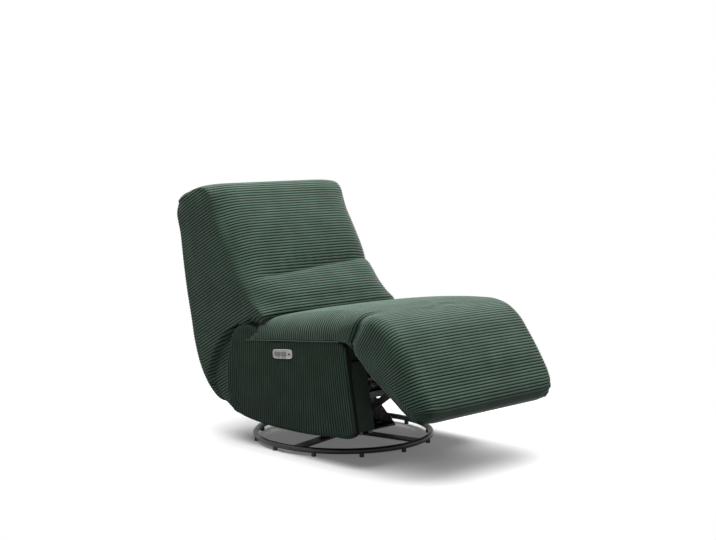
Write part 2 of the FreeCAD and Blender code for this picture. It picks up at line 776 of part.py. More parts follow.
def seat_section(station):
    """The seat cushion's side view: flat deck, hollow round the knee, crowned top, rear rolled down."""
    share = crown_share(station)
    reach = number("knee_radius + knee_clearance")
    knee = number("knee_y"), number("knee_z")
    lift = number("face_clearance")
    low = math.asin((number(deck_height(f"knee_y + {reach}")) + lift - knee[1]) / reach)
    corner = math.radians(number("seat_corner_angle"))
    high = corner + (math.radians(number("seat_lip_angle")) - corner) * share
    hollow = [(knee[0] + reach * math.cos(turn), knee[1] + reach * math.sin(turn))
              for turn in (low, (low + high) / 2, high)]
    slope, heel = number("seat_slope_y"), number("seat_back_y")
    middle = (hollow[2][0] + slope) / 2
    crown = number("seat_edge") + number("seat_crown") * share
    rear = number("seat_edge") + number("seat_rear_crown") * share
    roll = (slope + 2 * heel) / 3
    droop = number("seat_roll_share") * rear
    return [
        (heel, number(deck_height("seat_back_y")) + lift),
        (*hollow[0], *hollow[1]),
        (*hollow[2], middle, number(deck_height(middle)) + crown),
        (slope, number(deck_height("seat_slope_y")) + rear, roll, number(deck_height(roll)) + droop),
    ]


keep(loft_across("seat_cushion", SEAT_WIDTH, STATIONS, seat_section))


# Recline hinge and the back: plywood sides, rails, webbing, cushion, rear shell and side wings

RECLINE = ("recline_y", "recline_z")
BACK_HALF = f"({FRAME_HALF} - back_recess)"
BACK_OUTER = f"{BACK_HALF} + board_thickness"
WING_INNER = f"{BACK_OUTER} + face_clearance"
BACK_EDGE = f"({WING_INNER} + wing_thickness)"
BACK_LEAN = "atan((crown_y - lumbar_y) / (crown_z - lumbar_z))"
BACK_LENGTH = f"((crown_z - lumbar_z) / cos({BACK_LEAN}))"
PAD_BACK = "back_pad_depth + face_clearance"
SHELL_INSIDE = "(shell_thickness + face_clearance)"


def back_point(along, deep):
    """A point a length up the back's face and a depth behind it."""
    return (f"lumbar_y + ({along}) * sin({BACK_LEAN}) + ({deep}) * cos({BACK_LEAN})",
            f"lumbar_z + ({along}) * cos({BACK_LEAN}) - ({deep}) * sin({BACK_LEAN})")


def tail_point(inset, angle):
    """A point on the tail's arc, a depth inside its outer face, at an angle below level."""
    return polar("tail_y", "tail_z", f"(tail_radius - ({inset}))", f"-({angle})")


def rear_point(y, z, inset):
    """A point of the rear face moved straight in by a depth."""
    return (f"{y} - ({inset}) * cos(rear_lean)", f"{z} + ({inset}) * sin(rear_lean)")


def rear_line(inset, end_angle):
    """The rear profile from the top down to the tail, a depth inside the outer face."""
    return [
        (*rear_point("rear_top_y", "rear_top_z", inset), *rear_point("rear_mid_y", "rear_mid_z", inset)),
        (*tail_point(inset, "tail_top_angle"), *tail_point(inset, f"(tail_top_angle + {end_angle}) / 2")),
        tail_point(inset, end_angle),
    ]


def back_strip(name, along, length, deep, thickness, half_width):
    """A flat strip across the back, square to its face."""
    return cross_strip(name, [
        back_point(along, deep), back_point(f"{along} + {length}", deep),
        back_point(f"{along} + {length}", f"{deep} + {thickness}"), back_point(along, f"{deep} + {thickness}"),
    ], half_width)


def recline_bracket(name, side):
    """The steel plate on the seat's side board that holds the recline pin."""
    end = polar(*RECLINE, "recline_plate_reach", "recline_plate_angle")
    return plate(name, link_outline(RECLINE, end, "recline_lug", "recline_lug / 2", "recline_plate_angle"),
                 start(side, RAIL_INNER, "mech_steel"), "mech_steel",
                 holes=[(*RECLINE, "recline_pin_diameter")])


RUNNING_PIN = "recline_pin_diameter + 2 * running_clearance"


def back_bracket(name, side):
    """The steel plate on the back's side board that turns on the recline pin."""
    end = polar(*RECLINE, "back_plate_reach", "back_plate_angle")
    return plate(name, link_outline(RECLINE, end, "back_plate_eye", "recline_lug / 2", "back_plate_angle"),
                 start(side, BACK_OUTER, "recline_steel"), "recline_steel", holes=[(*RECLINE, RUNNING_PIN)])


pair("recline_brackets", recline_bracket)
PIN_DEPTH = f"({FRAME_OUTER} - ({BACK_HALF}))"
pair("recline_pins", lambda name, side: cylinder(name, "recline_pin_diameter", PIN_DEPTH,
                                                 (start(side, BACK_HALF, PIN_DEPTH), *RECLINE), "X"))
pair("back_brackets", back_bracket)

TAIL_INSIDE = f"({SHELL_INSIDE} + tail_depth)"
TAIL_EDGE = "(tail_end_angle - tail_margin_angle)"
TAIL_MIDDLE = f"(tail_top_angle + tail_neck_angle + {TAIL_EDGE}) / 2"
RAIL_ANGLE = f"{TAIL_EDGE} - tail_rail_angle"
for name, side in SIDES:
    keep(plate(f"back_side_{name}", [
        back_point("back_pad_heel", PAD_BACK),
        back_point(f"{BACK_LENGTH} - back_top_drop", PAD_BACK),
        *rear_line(SHELL_INSIDE, TAIL_EDGE),
        (*tail_point(TAIL_INSIDE, TAIL_EDGE), *tail_point(TAIL_INSIDE, TAIL_MIDDLE)),
        tail_point(TAIL_INSIDE, "tail_top_angle + tail_neck_angle"),
        ("recline_y", "recline_z - recline_lug", "recline_y - recline_lug", "recline_z"),
        ("recline_y", "recline_z + recline_lug"),
    ], start(side, BACK_HALF, "board_thickness"), "board_thickness", holes=[(*RECLINE, RUNNING_PIN)]))

RAIL_DEEP = f"{PAD_BACK} + webbing_thickness"
keep(back_strip("back_top_rail", f"{BACK_LENGTH} - back_top_drop - back_rail_depth", "back_rail_depth",
                RAIL_DEEP, "back_rail_thickness", BACK_HALF))
keep(back_strip("back_lower_rail", "back_pad_heel", "back_rail_depth",
                RAIL_DEEP, "back_rail_thickness", BACK_HALF))
keep(cross_strip("back_tail_rail", [
    tail_point(SHELL_INSIDE, TAIL_EDGE), tail_point(SHELL_INSIDE, RAIL_ANGLE),
    tail_point(TAIL_INSIDE, RAIL_ANGLE), tail_point(TAIL_INSIDE, TAIL_EDGE)], BACK_HALF))

WEB_RUN = f"({BACK_LENGTH} - back_top_drop - back_pad_heel - webbing_width) / (webbing_count - 1)"
webs = [back_strip(f"web_{index}", f"back_pad_heel + {index} * {WEB_RUN}", "webbing_width", PAD_BACK,
                   "webbing_thickness", BACK_HALF) for index in range(int(SIZES["webbing_count"]))]
keep(group("back_webbing", webs))

keep(cross_strip("back_shell", [
    *rear_line("0", "tail_end_angle"),
    (*tail_point("shell_thickness", "tail_end_angle"),
     *tail_point("shell_thickness", "(tail_top_angle + tail_end_angle) / 2")),
    (*tail_point("shell_thickness", "tail_top_angle"),
     *rear_point("rear_mid_y", "rear_mid_z", "shell_thickness")),
    rear_point("rear_top_y", "rear_top_z", "shell_thickness"),
], BACK_OUTER))


PAD_TOP = f"{BACK_LENGTH} - back_top_drop + face_clearance"
SHELL_TOP = rear_point("rear_top_y", "rear_top_z", "shell_thickness")
PAD_REAR = "rear_top_z + top_pad_thickness"
PAD_CREST = back_point(BACK_LENGTH, PAD_BACK)
keep(cross_strip("back_top_pad", [
    back_point(PAD_TOP, PAD_BACK),
    (*PAD_CREST, f"(({PAD_CREST[0]}) + rear_top_y) / 2",
     f"(({PAD_CREST[1]}) + {PAD_REAR}) / 2 + top_pad_thickness / 2"),
    ("rear_top_y", PAD_REAR),
    ("rear_top_y", "rear_top_z + face_clearance"),
    (SHELL_TOP[0], f"{SHELL_TOP[1]} + face_clearance"),
], BACK_EDGE))


def back_section(station):
    """The back cushion's side view: lumbar bulge, sewn crease, upper bulge, rolled top and flat rear."""
    share = crown_share(station)
    lean = math.radians(number(BACK_LEAN))
    up = FreeCAD.Vector(math.sin(lean), math.cos(lean), 0)
    inward = FreeCAD.Vector(math.cos(lean), -math.sin(lean), 0)
    draw = inward * number("back_side_draw") * (1 - share)
    foot, crease, crown = (FreeCAD.Vector(number(f"{spot}_y"), number(f"{spot}_z"), 0)
                           for spot in ("lumbar", "crease", "crown"))
    bulge = bulge_share(station)
    lumbar = (foot + crease) / 2 - inward * number("lumbar_bulge") * bulge + draw
    upper = (crease + crown) / 2 - inward * number("upper_bulge") * bulge + draw
    groove = crease + inward * number("crease_depth") * share + draw
    top = crown + inward * number("back_pad_depth")
    heel = foot + inward * number("back_pad_depth") + up * number("back_pad_heel")
    roll = (crown + draw + top) / 2 + up * number("back_top_round")
    corners = ((foot + draw, lumbar), (groove, upper), (crown + draw, roll), (top,), (heel,))
    return [[value for spot in corner for value in (spot.x, spot.y)] for corner in corners]


keep(loft_across("back_cushion", f"2 * {BACK_EDGE}", STATIONS, back_section))

WING_RISE = f"wing_floor - lumbar_z + ({PAD_BACK}) * sin({BACK_LEAN})"
WING_HEEL = f"(({WING_RISE}) / cos({BACK_LEAN}) + back_pad_heel / 2)"
TAIL_TOP = tail_point("0", "tail_top_angle")
for name, side in SIDES:
    keep(plate(f"back_wing_{name}", [
        back_point(WING_HEEL, PAD_BACK),
        back_point(f"{BACK_LENGTH} - back_top_drop", PAD_BACK),
        (*rear_point("rear_top_y", "rear_top_z", "0"), *rear_point("rear_mid_y", "rear_mid_z", "0")),
        (f"{TAIL_TOP[0]} + (wing_floor - ({TAIL_TOP[1]})) * tan(tail_top_angle)", "wing_floor"),
    ], start(side, WING_INNER, "wing_thickness"), "wing_thickness"))


# Footrest: hinge arms and pins on the seat, then the board, cushion and brackets that swing on them

KNEE = ("knee_y", "knee_z")
DRIVE = ("drive_y", "drive_z")
LINK_STACK = "3 * link_steel + 2 * link_gap"
ARM_PLANE = f"({FRAME_HALF} - stile_width - arm_inset - ({LINK_STACK}))"
CRANK_PLANE = f"{ARM_PLANE} + link_steel + link_gap"
ROD_PLANE = f"{CRANK_PLANE} + link_steel + link_gap"
CRANK_PIN = polar(*DRIVE, "crank_length", "crank_angle")
ROD_PIN = polar(*KNEE, "crank_length", "crank_angle")
ROD_ANGLE = "(180 + atan((knee_z - drive_z) / (knee_y - drive_y)) / (1 deg))"
ROD_PIN_LENGTH = "(2 * link_steel + link_gap)"
BOARD_TOP = "footrest_under + face_clearance"
BOARD_UNDER = f"{BOARD_TOP} + footrest_board_thickness"


def pad_point(along, below):
    """A point a length out along the footrest and a depth below the line through its hinge."""
    return (f"knee_y - ({along}) * cos(footrest_pitch) + ({below}) * sin(footrest_pitch)",
            f"knee_z - ({along}) * sin(footrest_pitch) - ({below}) * cos(footrest_pitch)")


def hinge_arm(name, side):
    """The fixed arm from under the seat's front rail to the knee pin."""
    rear = "front_rail_y + rail_board_thickness"
    low = f"{FRONT_RAIL_BOTTOM} - 2 * knee_lug"
    return plate(name, [
        arc_to(polar(*KNEE, "knee_lug", "60"), polar(*KNEE, "knee_lug", "150")),
        polar(*KNEE, "knee_lug", "240"),
        ("front_rail_y", low),
        (rear, low),
        (rear, FRONT_RAIL_BOTTOM),
        ("front_rail_y", FRONT_RAIL_BOTTOM),
    ], start(side, ARM_PLANE, "link_steel"), "link_steel", holes=[(*KNEE, "knee_pin_diameter")])


def footrest_bracket(name, side):
    """The plate under the footrest board, from the knee pin out to the push rod's pin."""
    return plate(name, [
        arc_to(pad_point("-bracket_eye", "0"), pad_point("0", "-bracket_eye")),
        pad_point("bracket_eye", "0"),
        pad_point("2 * knee_lug", "3 * knee_lug"),
        pad_point("bracket_start", f"{BOARD_UNDER} + face_clearance"),
        pad_point("footrest_length / 2", f"{BOARD_UNDER} + face_clearance"),
        arc_to(BRACKET_EYE[0], BRACKET_EYE[1]),
        BRACKET_EYE[2],
        pad_point("-bracket_eye", "4 * knee_lug"),
    ], start(side, CRANK_PLANE, "link_steel"), "link_steel",
        holes=[(*KNEE, "knee_pin_diameter + 2 * running_clearance"), (*ROD_PIN, "link_pin_diameter")])


BRACKET_EYE = [polar(*ROD_PIN, "rod_pin_eye", f"footrest_pitch + {turn}") for turn in (180, 225, 270)]
pair("hinge_arms", hinge_arm)
pair("knee_pins", lambda name, side: cylinder(name, "knee_pin_diameter", ROD_PIN_LENGTH,
                                              (start(side, ARM_PLANE, ROD_PIN_LENGTH), *KNEE), "X"))
pair("footrest_brackets", footrest_bracket)
pair("rod_pins", lambda name, side: cylinder(name, "link_pin_diameter", ROD_PIN_LENGTH,
                                             (start(side, CRANK_PLANE, ROD_PIN_LENGTH), *ROD_PIN), "X"))
keep(cross_strip("footrest_board", [
    pad_point("footrest_start", BOARD_TOP), pad_point("footrest_start", BOARD_UNDER),
    pad_point("footrest_length", BOARD_UNDER), pad_point("footrest_length", BOARD_TOP),
], f"({SEAT_WIDTH}) / 2 - footrest_board_inset"))


def footrest_section(station):
    """The footrest cushion's side view: barrel over the knee, swelling face, round toe, flat underside."""
    share = crown_share(station)
    pitch = number("footrest_pitch")
    knee = FreeCAD.Vector(number("knee_y"), number("knee_z"), 0)

    def about(radius, angle):
        return knee + FreeCAD.Vector(math.cos(math.radians(angle)), math.sin(math.radians(angle)), 0) * radius

    def out(along, below):
        return FreeCAD.Vector(number(pad_point(along, below)[0]), number(pad_point(along, below)[1]), 0)

    bore = number("knee_bore")
    barrel = bore + (number("knee_radius") - bore) * (1 - number("barrel_edge_draw") * (1 - share))
    stretch = 1 - number("toe_edge_draw") * (1 - share)
    rear, face = number("barrel_rear_angle"), number("barrel_face_angle")
    heel = 180 + pitch + math.degrees(math.atan2(number("footrest_under"), number("footrest_heel")))
    slope = about(barrel, face)
    run = FreeCAD.Vector(-math.sin(math.radians(face)), math.cos(math.radians(face)), 0)
    toe = slope + run * number("footrest_face") * stretch
    swell = FreeCAD.Vector(-run.y, run.x, 0) * number("footrest_swell") * bulge_share(station)
    corners = (
        (about(barrel, rear), about(barrel, (rear + face) / 2)),
        (slope, (slope + toe) / 2 + swell),
        (toe, out(number("footrest_nose") * stretch, "footrest_nose_drop")),
        (out("footrest_length", "footrest_under"),),
        (out("footrest_heel", "footrest_under"),),
        (about(bore, heel), about(bore, (heel + face) / 2)),
        (about(bore, face), about(bore, (rear + face) / 2)),
        (about(bore, rear),),
    )
    return [[value for spot in corner for value in (spot.x, spot.y)] for corner in corners]


keep(loft_across("footrest_cushion", SEAT_WIDTH, STATIONS, footrest_section))


# Drive: a torque tube with cranks and push rods that make a parallelogram with the footrest, and its actuator

TORQUE_LENGTH = f"2 * ({FRAME_HALF} - face_clearance)"
torque_bar = cylinder("torque_bar", "torque_tube_diameter", TORQUE_LENGTH,
                      (f"-({TORQUE_LENGTH}) / 2", *DRIVE), "X")
torque_bore = cylinder("torque_bore", "torque_tube_diameter - 2 * torque_tube_wall", TORQUE_LENGTH,
                       (f"-({TORQUE_LENGTH}) / 2", *DRIVE), "X")
keep(cut("torque_tube", torque_bar, torque_bore))
CRANK_EYE = "torque_tube_diameter / 2 + link_eye / 2"


def drive_crank(name, side):
    """A crank arm welded on the torque tube, with its pin for the push rod."""
    arm = plate(f"{name}_arm", link_outline(DRIVE, CRANK_PIN, CRANK_EYE, "link_eye", "crank_angle"),
                start(side, CRANK_PLANE, "link_steel"), "link_steel", holes=[(*DRIVE, "torque_tube_diameter")])
    pin = cylinder(f"{name}_pin", "link_pin_diameter", ROD_PIN_LENGTH,
                   (start(side, CRANK_PLANE, ROD_PIN_LENGTH), *CRANK_PIN), "X")
    return fuse(name, [arm, pin])


pair("drive_cranks", drive_crank)
pair("push_rods", lambda name, side: plate(
    name, link_outline(CRANK_PIN, ROD_PIN, "link_eye", "link_eye", ROD_ANGLE),
    start(side, ROD_PLANE, "link_steel"), "link_steel",
    holes=[(*CRANK_PIN, "link_pin_diameter + 2 * face_clearance"),
           (*ROD_PIN, "link_pin_diameter + 2 * running_clearance")]))

LEVER_PIN = ("drive_y + lever_drop * tan(lever_angle - 270)", "drive_z - lever_drop")
SLOT_RADIUS = "(link_pin_diameter / 2 + lever_play)"
SLOT_ENDS = [polar(*DRIVE, f"lever_drop + {reach}", "lever_angle") for reach in ("0", "lever_reach")]
LEVER_EYE = f"{SLOT_RADIUS} + link_steel"
keep(plate("drive_lever", link_outline(DRIVE, SLOT_ENDS[1], CRANK_EYE, LEVER_EYE, "lever_angle"),
           "-lever_thickness / 2", "lever_thickness", holes=[(*DRIVE, "torque_tube_diameter")],
           cutouts=[link_outline(*SLOT_ENDS, SLOT_RADIUS, SLOT_RADIUS, "lever_angle")]))

FORK_INNER = "(lever_thickness / 2 + face_clearance)"
FORK_HALF = f"({FORK_INNER} + fork_steel)"
ROD_END = f"({LEVER_PIN[0]} + fork_length)"
ACTUATOR_FRONT = f"({ROD_END} + fork_steel + rod_stroke)"
MOTOR_REAR = "(cross_tube_rear_y - cross_tube_width / 2)"
MOTOR_FRONT = f"({MOTOR_REAR} - motor_length)"
fork_cheeks = [box(f"fork_cheek_{name}", ("fork_steel", "fork_length + link_pin_diameter", "rod_diameter"),
                   (start(side, FORK_INNER, "fork_steel"), f"{LEVER_PIN[0]} - link_pin_diameter",
                    f"{LEVER_PIN[1]} - rod_diameter / 2")) for name, side in SIDES]
fork_base = box("fork_base", (f"2 * {FORK_HALF}", "fork_steel", "rod_diameter"),
                (f"-{FORK_HALF}", ROD_END, f"{LEVER_PIN[1]} - rod_diameter / 2"))
fork_pin = cylinder("fork_pin", "link_pin_diameter", f"2 * {FORK_HALF}", (f"-{FORK_HALF}", *LEVER_PIN), "X")
rod_bar = cylinder("rod_bar", "rod_diameter", "fork_steel + rod_stroke + actuator_guide",
                   ("0", ROD_END, LEVER_PIN[1]), "Y")
keep(fuse("actuator_rod", [*fork_cheeks, fork_base, fork_pin, rod_bar]))

sleeve = cylinder("actuator_sleeve", "actuator_diameter", f"{MOTOR_FRONT} - {ACTUATOR_FRONT}",
                  ("0", ACTUATOR_FRONT, LEVER_PIN[1]), "Y")
motor = box("motor_block", ("motor_width", "motor_length", "motor_width"),
            ("-motor_width / 2", MOTOR_FRONT, f"{LEVER_PIN[1]} - motor_width / 2"))
guide = cylinder("actuator_bore", "rod_diameter + 2 * running_clearance", "actuator_guide + rod_stroke",
                 ("0", ACTUATOR_FRONT, LEVER_PIN[1]), "Y")
keep(cut("actuator_body", fuse("actuator_case", [sleeve, motor]), guide))
keep(box("actuator_mount", ("mount_width", "mount_thickness", "mount_height"),
         ("-mount_width / 2", MOTOR_REAR, TUBE_TOP)))
keep(cylinder("power_inlet", "inlet_diameter", "inlet_length",
              ("motor_width / 2", f"{MOTOR_REAR} - motor_length / 2", LEVER_PIN[1]), "X"))


# Controls on the sitter's right: housing let into the side, bezel, two push buttons and a socket

PANEL_FACE = f"{FRAME_OUTER} + side_pad_thickness"
BUTTON_SPOTS = {"button_open": "button_offset", "button_close": "button_offset - button_pitch"}
HOUSING_DEPTH = "board_thickness + side_pad_thickness"
housing_outline, housing_hollow = (
    panel_rectangle("0", f"{POCKET_LENGTH} - 2 * {margin}", f"{POCKET_HEIGHT} - 2 * {margin}")
    for margin in ("face_clearance", "housing_wall"))
housing_walls = plate("housing_walls", housing_outline, start(-1, FRAME_HALF, HOUSING_DEPTH), HOUSING_DEPTH,
                      cutouts=[housing_hollow])
housing_floor = plate("housing_floor", housing_outline, start(-1, FRAME_HALF, "housing_wall"), "housing_wall")
keep(fuse("control_housing", [housing_walls, housing_floor]))

windows = [panel_rectangle(spot, "button_length + 2 * face_clearance", "button_height + 2 * face_clearance")
           for spot in BUTTON_SPOTS.values()]
usb_window = panel_rectangle("-usb_offset", "usb_width", "usb_height")
keep(plate("control_bezel", panel_rectangle("0", "panel_length", "panel_height"),
           start(-1, PANEL_FACE, "panel_plate"), "panel_plate", cutouts=[*windows, usb_window]))
keep(plate("usb_port", usb_window, start(-1, PANEL_FACE, "panel_plate"), "panel_plate"))
for name, spot in BUTTON_SPOTS.items():
    inner = f"{PANEL_FACE} + panel_plate + button_proud - button_depth"
    keep(plate(name, panel_rectangle(spot, "button_length", "button_height"), start(-1, inner, "button_depth"),
               "button_depth"))


# Check every object, then write each piece to its own file

doc.recompute()
for obj in doc.Objects:
    if "Invalid" in obj.State or "Error" in obj.State:
        raise RuntimeError(f"{obj.Label} failed: {obj.State}")
for obj in nodes:
    if obj.Shape.isNull() or not obj.Shape.isValid() or not obj.Shape.Solids:
        raise RuntimeError(f"{obj.Label} has no valid solid")
os.makedirs("parts", exist_ok=True)
for obj in nodes:
    obj.Shape.exportStep(f"parts/{obj.Label}.step")
print(f"wrote {len(nodes)} pieces")
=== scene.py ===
# %% [markdown]
# A power swivel rocker recliner in dark green corduroy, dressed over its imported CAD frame.
# The steel base, linkage, boards and buttons are CAD nodes and keep their shapes.
# The upholstery is made here: each cover is a set of grids worked out with numpy.
# So are the topstitching, the control plate and the rocker's coil springs.

# %% Load the frame
import json
import math
import bmesh
import bpy
import numpy as np
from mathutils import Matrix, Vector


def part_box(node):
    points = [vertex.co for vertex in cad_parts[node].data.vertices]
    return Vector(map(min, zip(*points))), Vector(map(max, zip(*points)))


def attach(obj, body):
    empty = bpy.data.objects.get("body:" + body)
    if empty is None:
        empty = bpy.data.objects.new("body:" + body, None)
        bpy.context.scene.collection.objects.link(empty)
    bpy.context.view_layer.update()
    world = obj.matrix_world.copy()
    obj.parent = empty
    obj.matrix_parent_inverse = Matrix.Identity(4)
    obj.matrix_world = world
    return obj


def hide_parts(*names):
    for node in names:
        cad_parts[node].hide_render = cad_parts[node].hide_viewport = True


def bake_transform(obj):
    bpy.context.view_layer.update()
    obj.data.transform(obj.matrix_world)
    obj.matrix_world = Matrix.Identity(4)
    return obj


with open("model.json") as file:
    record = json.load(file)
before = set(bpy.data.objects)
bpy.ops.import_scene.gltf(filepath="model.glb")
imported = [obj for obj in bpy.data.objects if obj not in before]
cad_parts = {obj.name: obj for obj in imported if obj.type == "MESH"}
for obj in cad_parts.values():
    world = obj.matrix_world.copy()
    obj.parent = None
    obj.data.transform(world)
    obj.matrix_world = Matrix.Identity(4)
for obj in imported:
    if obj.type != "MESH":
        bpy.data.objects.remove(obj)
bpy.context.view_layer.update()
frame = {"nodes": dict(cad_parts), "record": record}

# %% [markdown]
# The camera stands in front of the sitter's right knee, a little above the seat.
# Its place comes from fitting the base ring's ellipse, which is a circle of known size on the floor.

# %% Camera
SENSOR_MM = 36.0
FOCAL_PIXELS, PICTURE_PIXELS = 1400, 716
camera_data = bpy.data.cameras.new("photo_camera")
camera_data.sensor_width = SENSOR_MM
camera_data.lens = FOCAL_PIXELS / PICTURE_PIXELS * SENSOR_MM
camera = bpy.data.objects.new("photo_camera", camera_data)
bpy.context.collection.objects.link(camera)
camera.location = (-3.838, -3.928, 1.261)
camera.rotation_euler = (math.radians(90 - 6.155), 0, math.radians(-44.94))
bpy.context.scene.camera = camera
bpy.context.scene.view_settings.view_transform = "Standard"
print("camera lens", round(camera_data.lens, 1), "mm")

# %% [markdown]
# Every cover starts from a few control points of its side view.
# A smooth line through them could be a Blender curve, but plain arrays keep rows and columns in step.
# Each line is a cubic Hermite curve whose slopes come from the neighbouring chords, then it is spaced evenly.

# %% Smooth lines


def smooth_line(points, count, measured=2, steps=16):
    """Cubic Hermite through the points with chord-length slopes, spaced evenly by the first `measured` columns."""
    p = np.asarray(points, float)
    h = np.linalg.norm(np.diff(p[:, :measured], axis=0), axis=1)[:, None]
    slope = np.diff(p, axis=0) / h
    middle = (slope[:-1] * h[1:] + slope[1:] * h[:-1]) / (h[:-1] + h[1:])
    m = np.vstack([slope[:1], middle, slope[-1:]])
    t = np.linspace(0, 1, steps, endpoint=False)[None, :, None]
    a, b, hh = p[:-1, None], p[1:, None], h[:, None]
    q = ((2 * t**3 - 3 * t**2 + 1) * a + (t**3 - 2 * t**2 + t) * hh * m[:-1, None]
         + (3 * t**2 - 2 * t**3) * b + (t**3 - t**2) * hh * m[1:, None])
    line = np.vstack([q.reshape(-1, p.shape[1]), p[-1:]])
    return even(line, count, measured)


def run_along(line):
    """The length from a line's first point to each of its points."""
    return np.concatenate([[0], np.cumsum(np.linalg.norm(np.diff(line, axis=0), axis=1))])


def even(line, count, measured=2):
    """The line resampled at equal lengths."""
    run = run_along(line[:, :measured])
    at = np.linspace(0, run[-1], count)
    return np.stack([np.interp(at, run, column) for column in line.T], axis=1)


def smooth(x, low, high):
    """0 below low, 1 above high and an S-shaped rise between."""
    t = np.clip((x - low) / (high - low), 0, 1)
    return t * t * (3 - 2 * t)


def bump(x, middle, width):
    """A bell of height 1."""
    return np.exp(-((x - middle) / width) ** 2)


# %% [markdown]
# Corduroy has round ridges with narrow grooves between them. Ridge heights are added along a grid's normals.
# A piece is made of grids. Edge points that two grids share are merged, so the faces close up.
# Then they can be turned to face outwards.

# %% Ribs and meshes
# Rib spacing and height in metres, the tone of cloth without ribs, and the size within which points are merged
WALE = 0.0117
RIDGE = 0.0024
PLAIN_TONE = 0.62
MERGED = 2e-5


def wale_height(phase):
    """Rounded ridge with a narrow groove: 0 in the groove, 1 on the crest, once per unit of phase."""
    return 1 - np.abs(2 * (phase % 1) - 1) ** 2.6


def patch_normals(p):
    """Unit normals of a grid from the cross product of its row and column slopes."""
    n = np.cross(np.gradient(p, axis=0), np.gradient(p, axis=1))
    return n / np.maximum(np.linalg.norm(n, axis=2, keepdims=True), 1e-12)


def patch_faces(rows, cols, first=0):
    """The quads of a grid of vertices."""
    i = np.arange(rows * cols).reshape(rows, cols) + first
    return np.stack([i[:-1, :-1], i[1:, :-1], i[1:, 1:], i[:-1, 1:]], axis=-1).reshape(-1, 4)


def make_piece(name, patches):
    """One mesh from grids given as (points, wale attribute), doubles merged and faces turned outwards."""
    points, wales, faces, first = [], [], [], 0
    for p, wale in patches:
        rows, cols = p.shape[:2]
        points.append(p.reshape(-1, 3))
        wales.append(np.broadcast_to(wale, (rows, cols)).reshape(-1))
        faces.append(patch_faces(rows, cols, first))
        first += rows * cols
    points, wales, faces = np.vstack(points), np.concatenate(wales), np.vstack(faces)
    key = np.round(points / MERGED).astype(np.int64)
    _, keep, back = np.unique(key, axis=0, return_index=True, return_inverse=True)
    faces = back.reshape(-1)[faces]
    points, wales = points[keep], wales[keep]
    repeats = sum((faces == np.roll(faces, k, axis=1)).any(axis=1) for k in (1, 2))
    quads = faces[repeats == 0]
    folded = faces[repeats > 0]
    triangles = [list(dict.fromkeys(f)) for f in folded.tolist()]
    triangles = [f for f in triangles if len(f) == 3]
    mesh = bpy.data.meshes.new(name)
    mesh.from_pydata(points.tolist(), [], quads.tolist() + triangles)
    attribute = mesh.attributes.new("wale", "FLOAT", "POINT")
    attribute.data.foreach_set("value", wales.astype(np.float32))
    mesh.polygons.foreach_set("use_smooth", np.ones(len(mesh.polygons), bool))
    shell = bmesh.new()
    shell.from_mesh(mesh)
    bmesh.ops.recalc_face_normals(shell, faces=shell.faces)
    shell.to_mesh(mesh)
    shell.free()
    mesh.update()
    piece = bpy.data.objects.new(name, mesh)
    bpy.context.collection.objects.link(piece)
    print(name, len(points), "points", len(mesh.polygons), "faces")
    return piece


# %% [markdown]
# The back's cover goes up the front, over the top and down the rear to the tail under the seat.
# It is two chains of rows in step with each other, the front and the rear, with side panels stretched between them.
# On the real chair the ribs run across the front and turn round the corner, square to the front on the sides.

# %% Back lines
LEAN = math.atan2(0.372 - 0.058, 0.978 - 0.516)
UP = np.array([math.sin(LEAN), math.cos(LEAN)])
LUMBAR = np.array([0.058, 0.516])
BACK_HALF = 0.362
TAIL_HALF = 0.3386

FRONT_CHAIN = [(0.250, 0.122), (0.228, 0.150), (0.208, 0.215), (0.204, 0.290), (0.216, 0.345), (0.228, 0.394),
               (0.206, 0.442), (0.146, 0.476), (0.078, 0.491), (0.056, 0.517), (0.085, 0.560), (0.130, 0.618),
               (0.184, 0.690), (0.232, 0.765), (0.290, 0.858), (0.345, 0.943), (0.372, 0.981), (0.394, 0.998),
               (0.424, 1.002), (0.472, 0.990), (0.530, 0.969), (0.574, 0.950), (0.592, 0.930)]
REAR_CHAIN = [(0.250, 0.122), (0.266, 0.118), (0.343, 0.149), (0.411, 0.200), (0.464, 0.275), (0.496, 0.357),
              (0.522, 0.470), (0.543, 0.558), (0.559, 0.640), (0.580, 0.775), (0.595, 0.895), (0.592, 0.930)]

front_dense = smooth_line(FRONT_CHAIN, 3000)
BACK_ROWS = 4 * round(run_along(front_dense)[-1] / WALE) + 1
front = even(front_dense, BACK_ROWS)
rear_dense = smooth_line(REAR_CHAIN, 2000)
rear_along = (rear_dense - LUMBAR) @ UP
wanted = np.maximum.accumulate((front - LUMBAR) @ UP)
wanted = np.convolve(np.pad(wanted, 30, mode="edge"), np.ones(61) / 61, mode="valid")
wanted[0], wanted[-1] = rear_along[0], rear_along[-1]
rear = np.stack([np.interp(wanted, rear_along, column) for column in rear_dense.T], axis=1)
run = run_along(front)
gap = np.linalg.norm(front - rear, axis=1)
print("back rows", BACK_ROWS, "front length", round(run[-1], 3))

# %% [markdown]
# The back's lower part swings past the seat's side panels, so its cover is narrower where it would pass behind one.
# Each row is carried across X, with its edges turned in towards the other chain.

# %% Back width and edges


def edge_columns(half, radius, deep, across, turned):
    """Columns across X: a flat middle and two edges turned on a quarter ellipse, as (x, inset from the face)."""
    flat = np.linspace(-(half - radius), half - radius, across)
    turn = np.linspace(0, math.pi / 2, turned + 1)[1:]
    side_x = half - radius + radius * np.sin(turn)
    side_in = deep * (1 - np.cos(turn))
    x = np.concatenate([-side_x[::-1], flat, side_x])
    return x, np.concatenate([side_in[::-1], np.zeros(across), side_in])


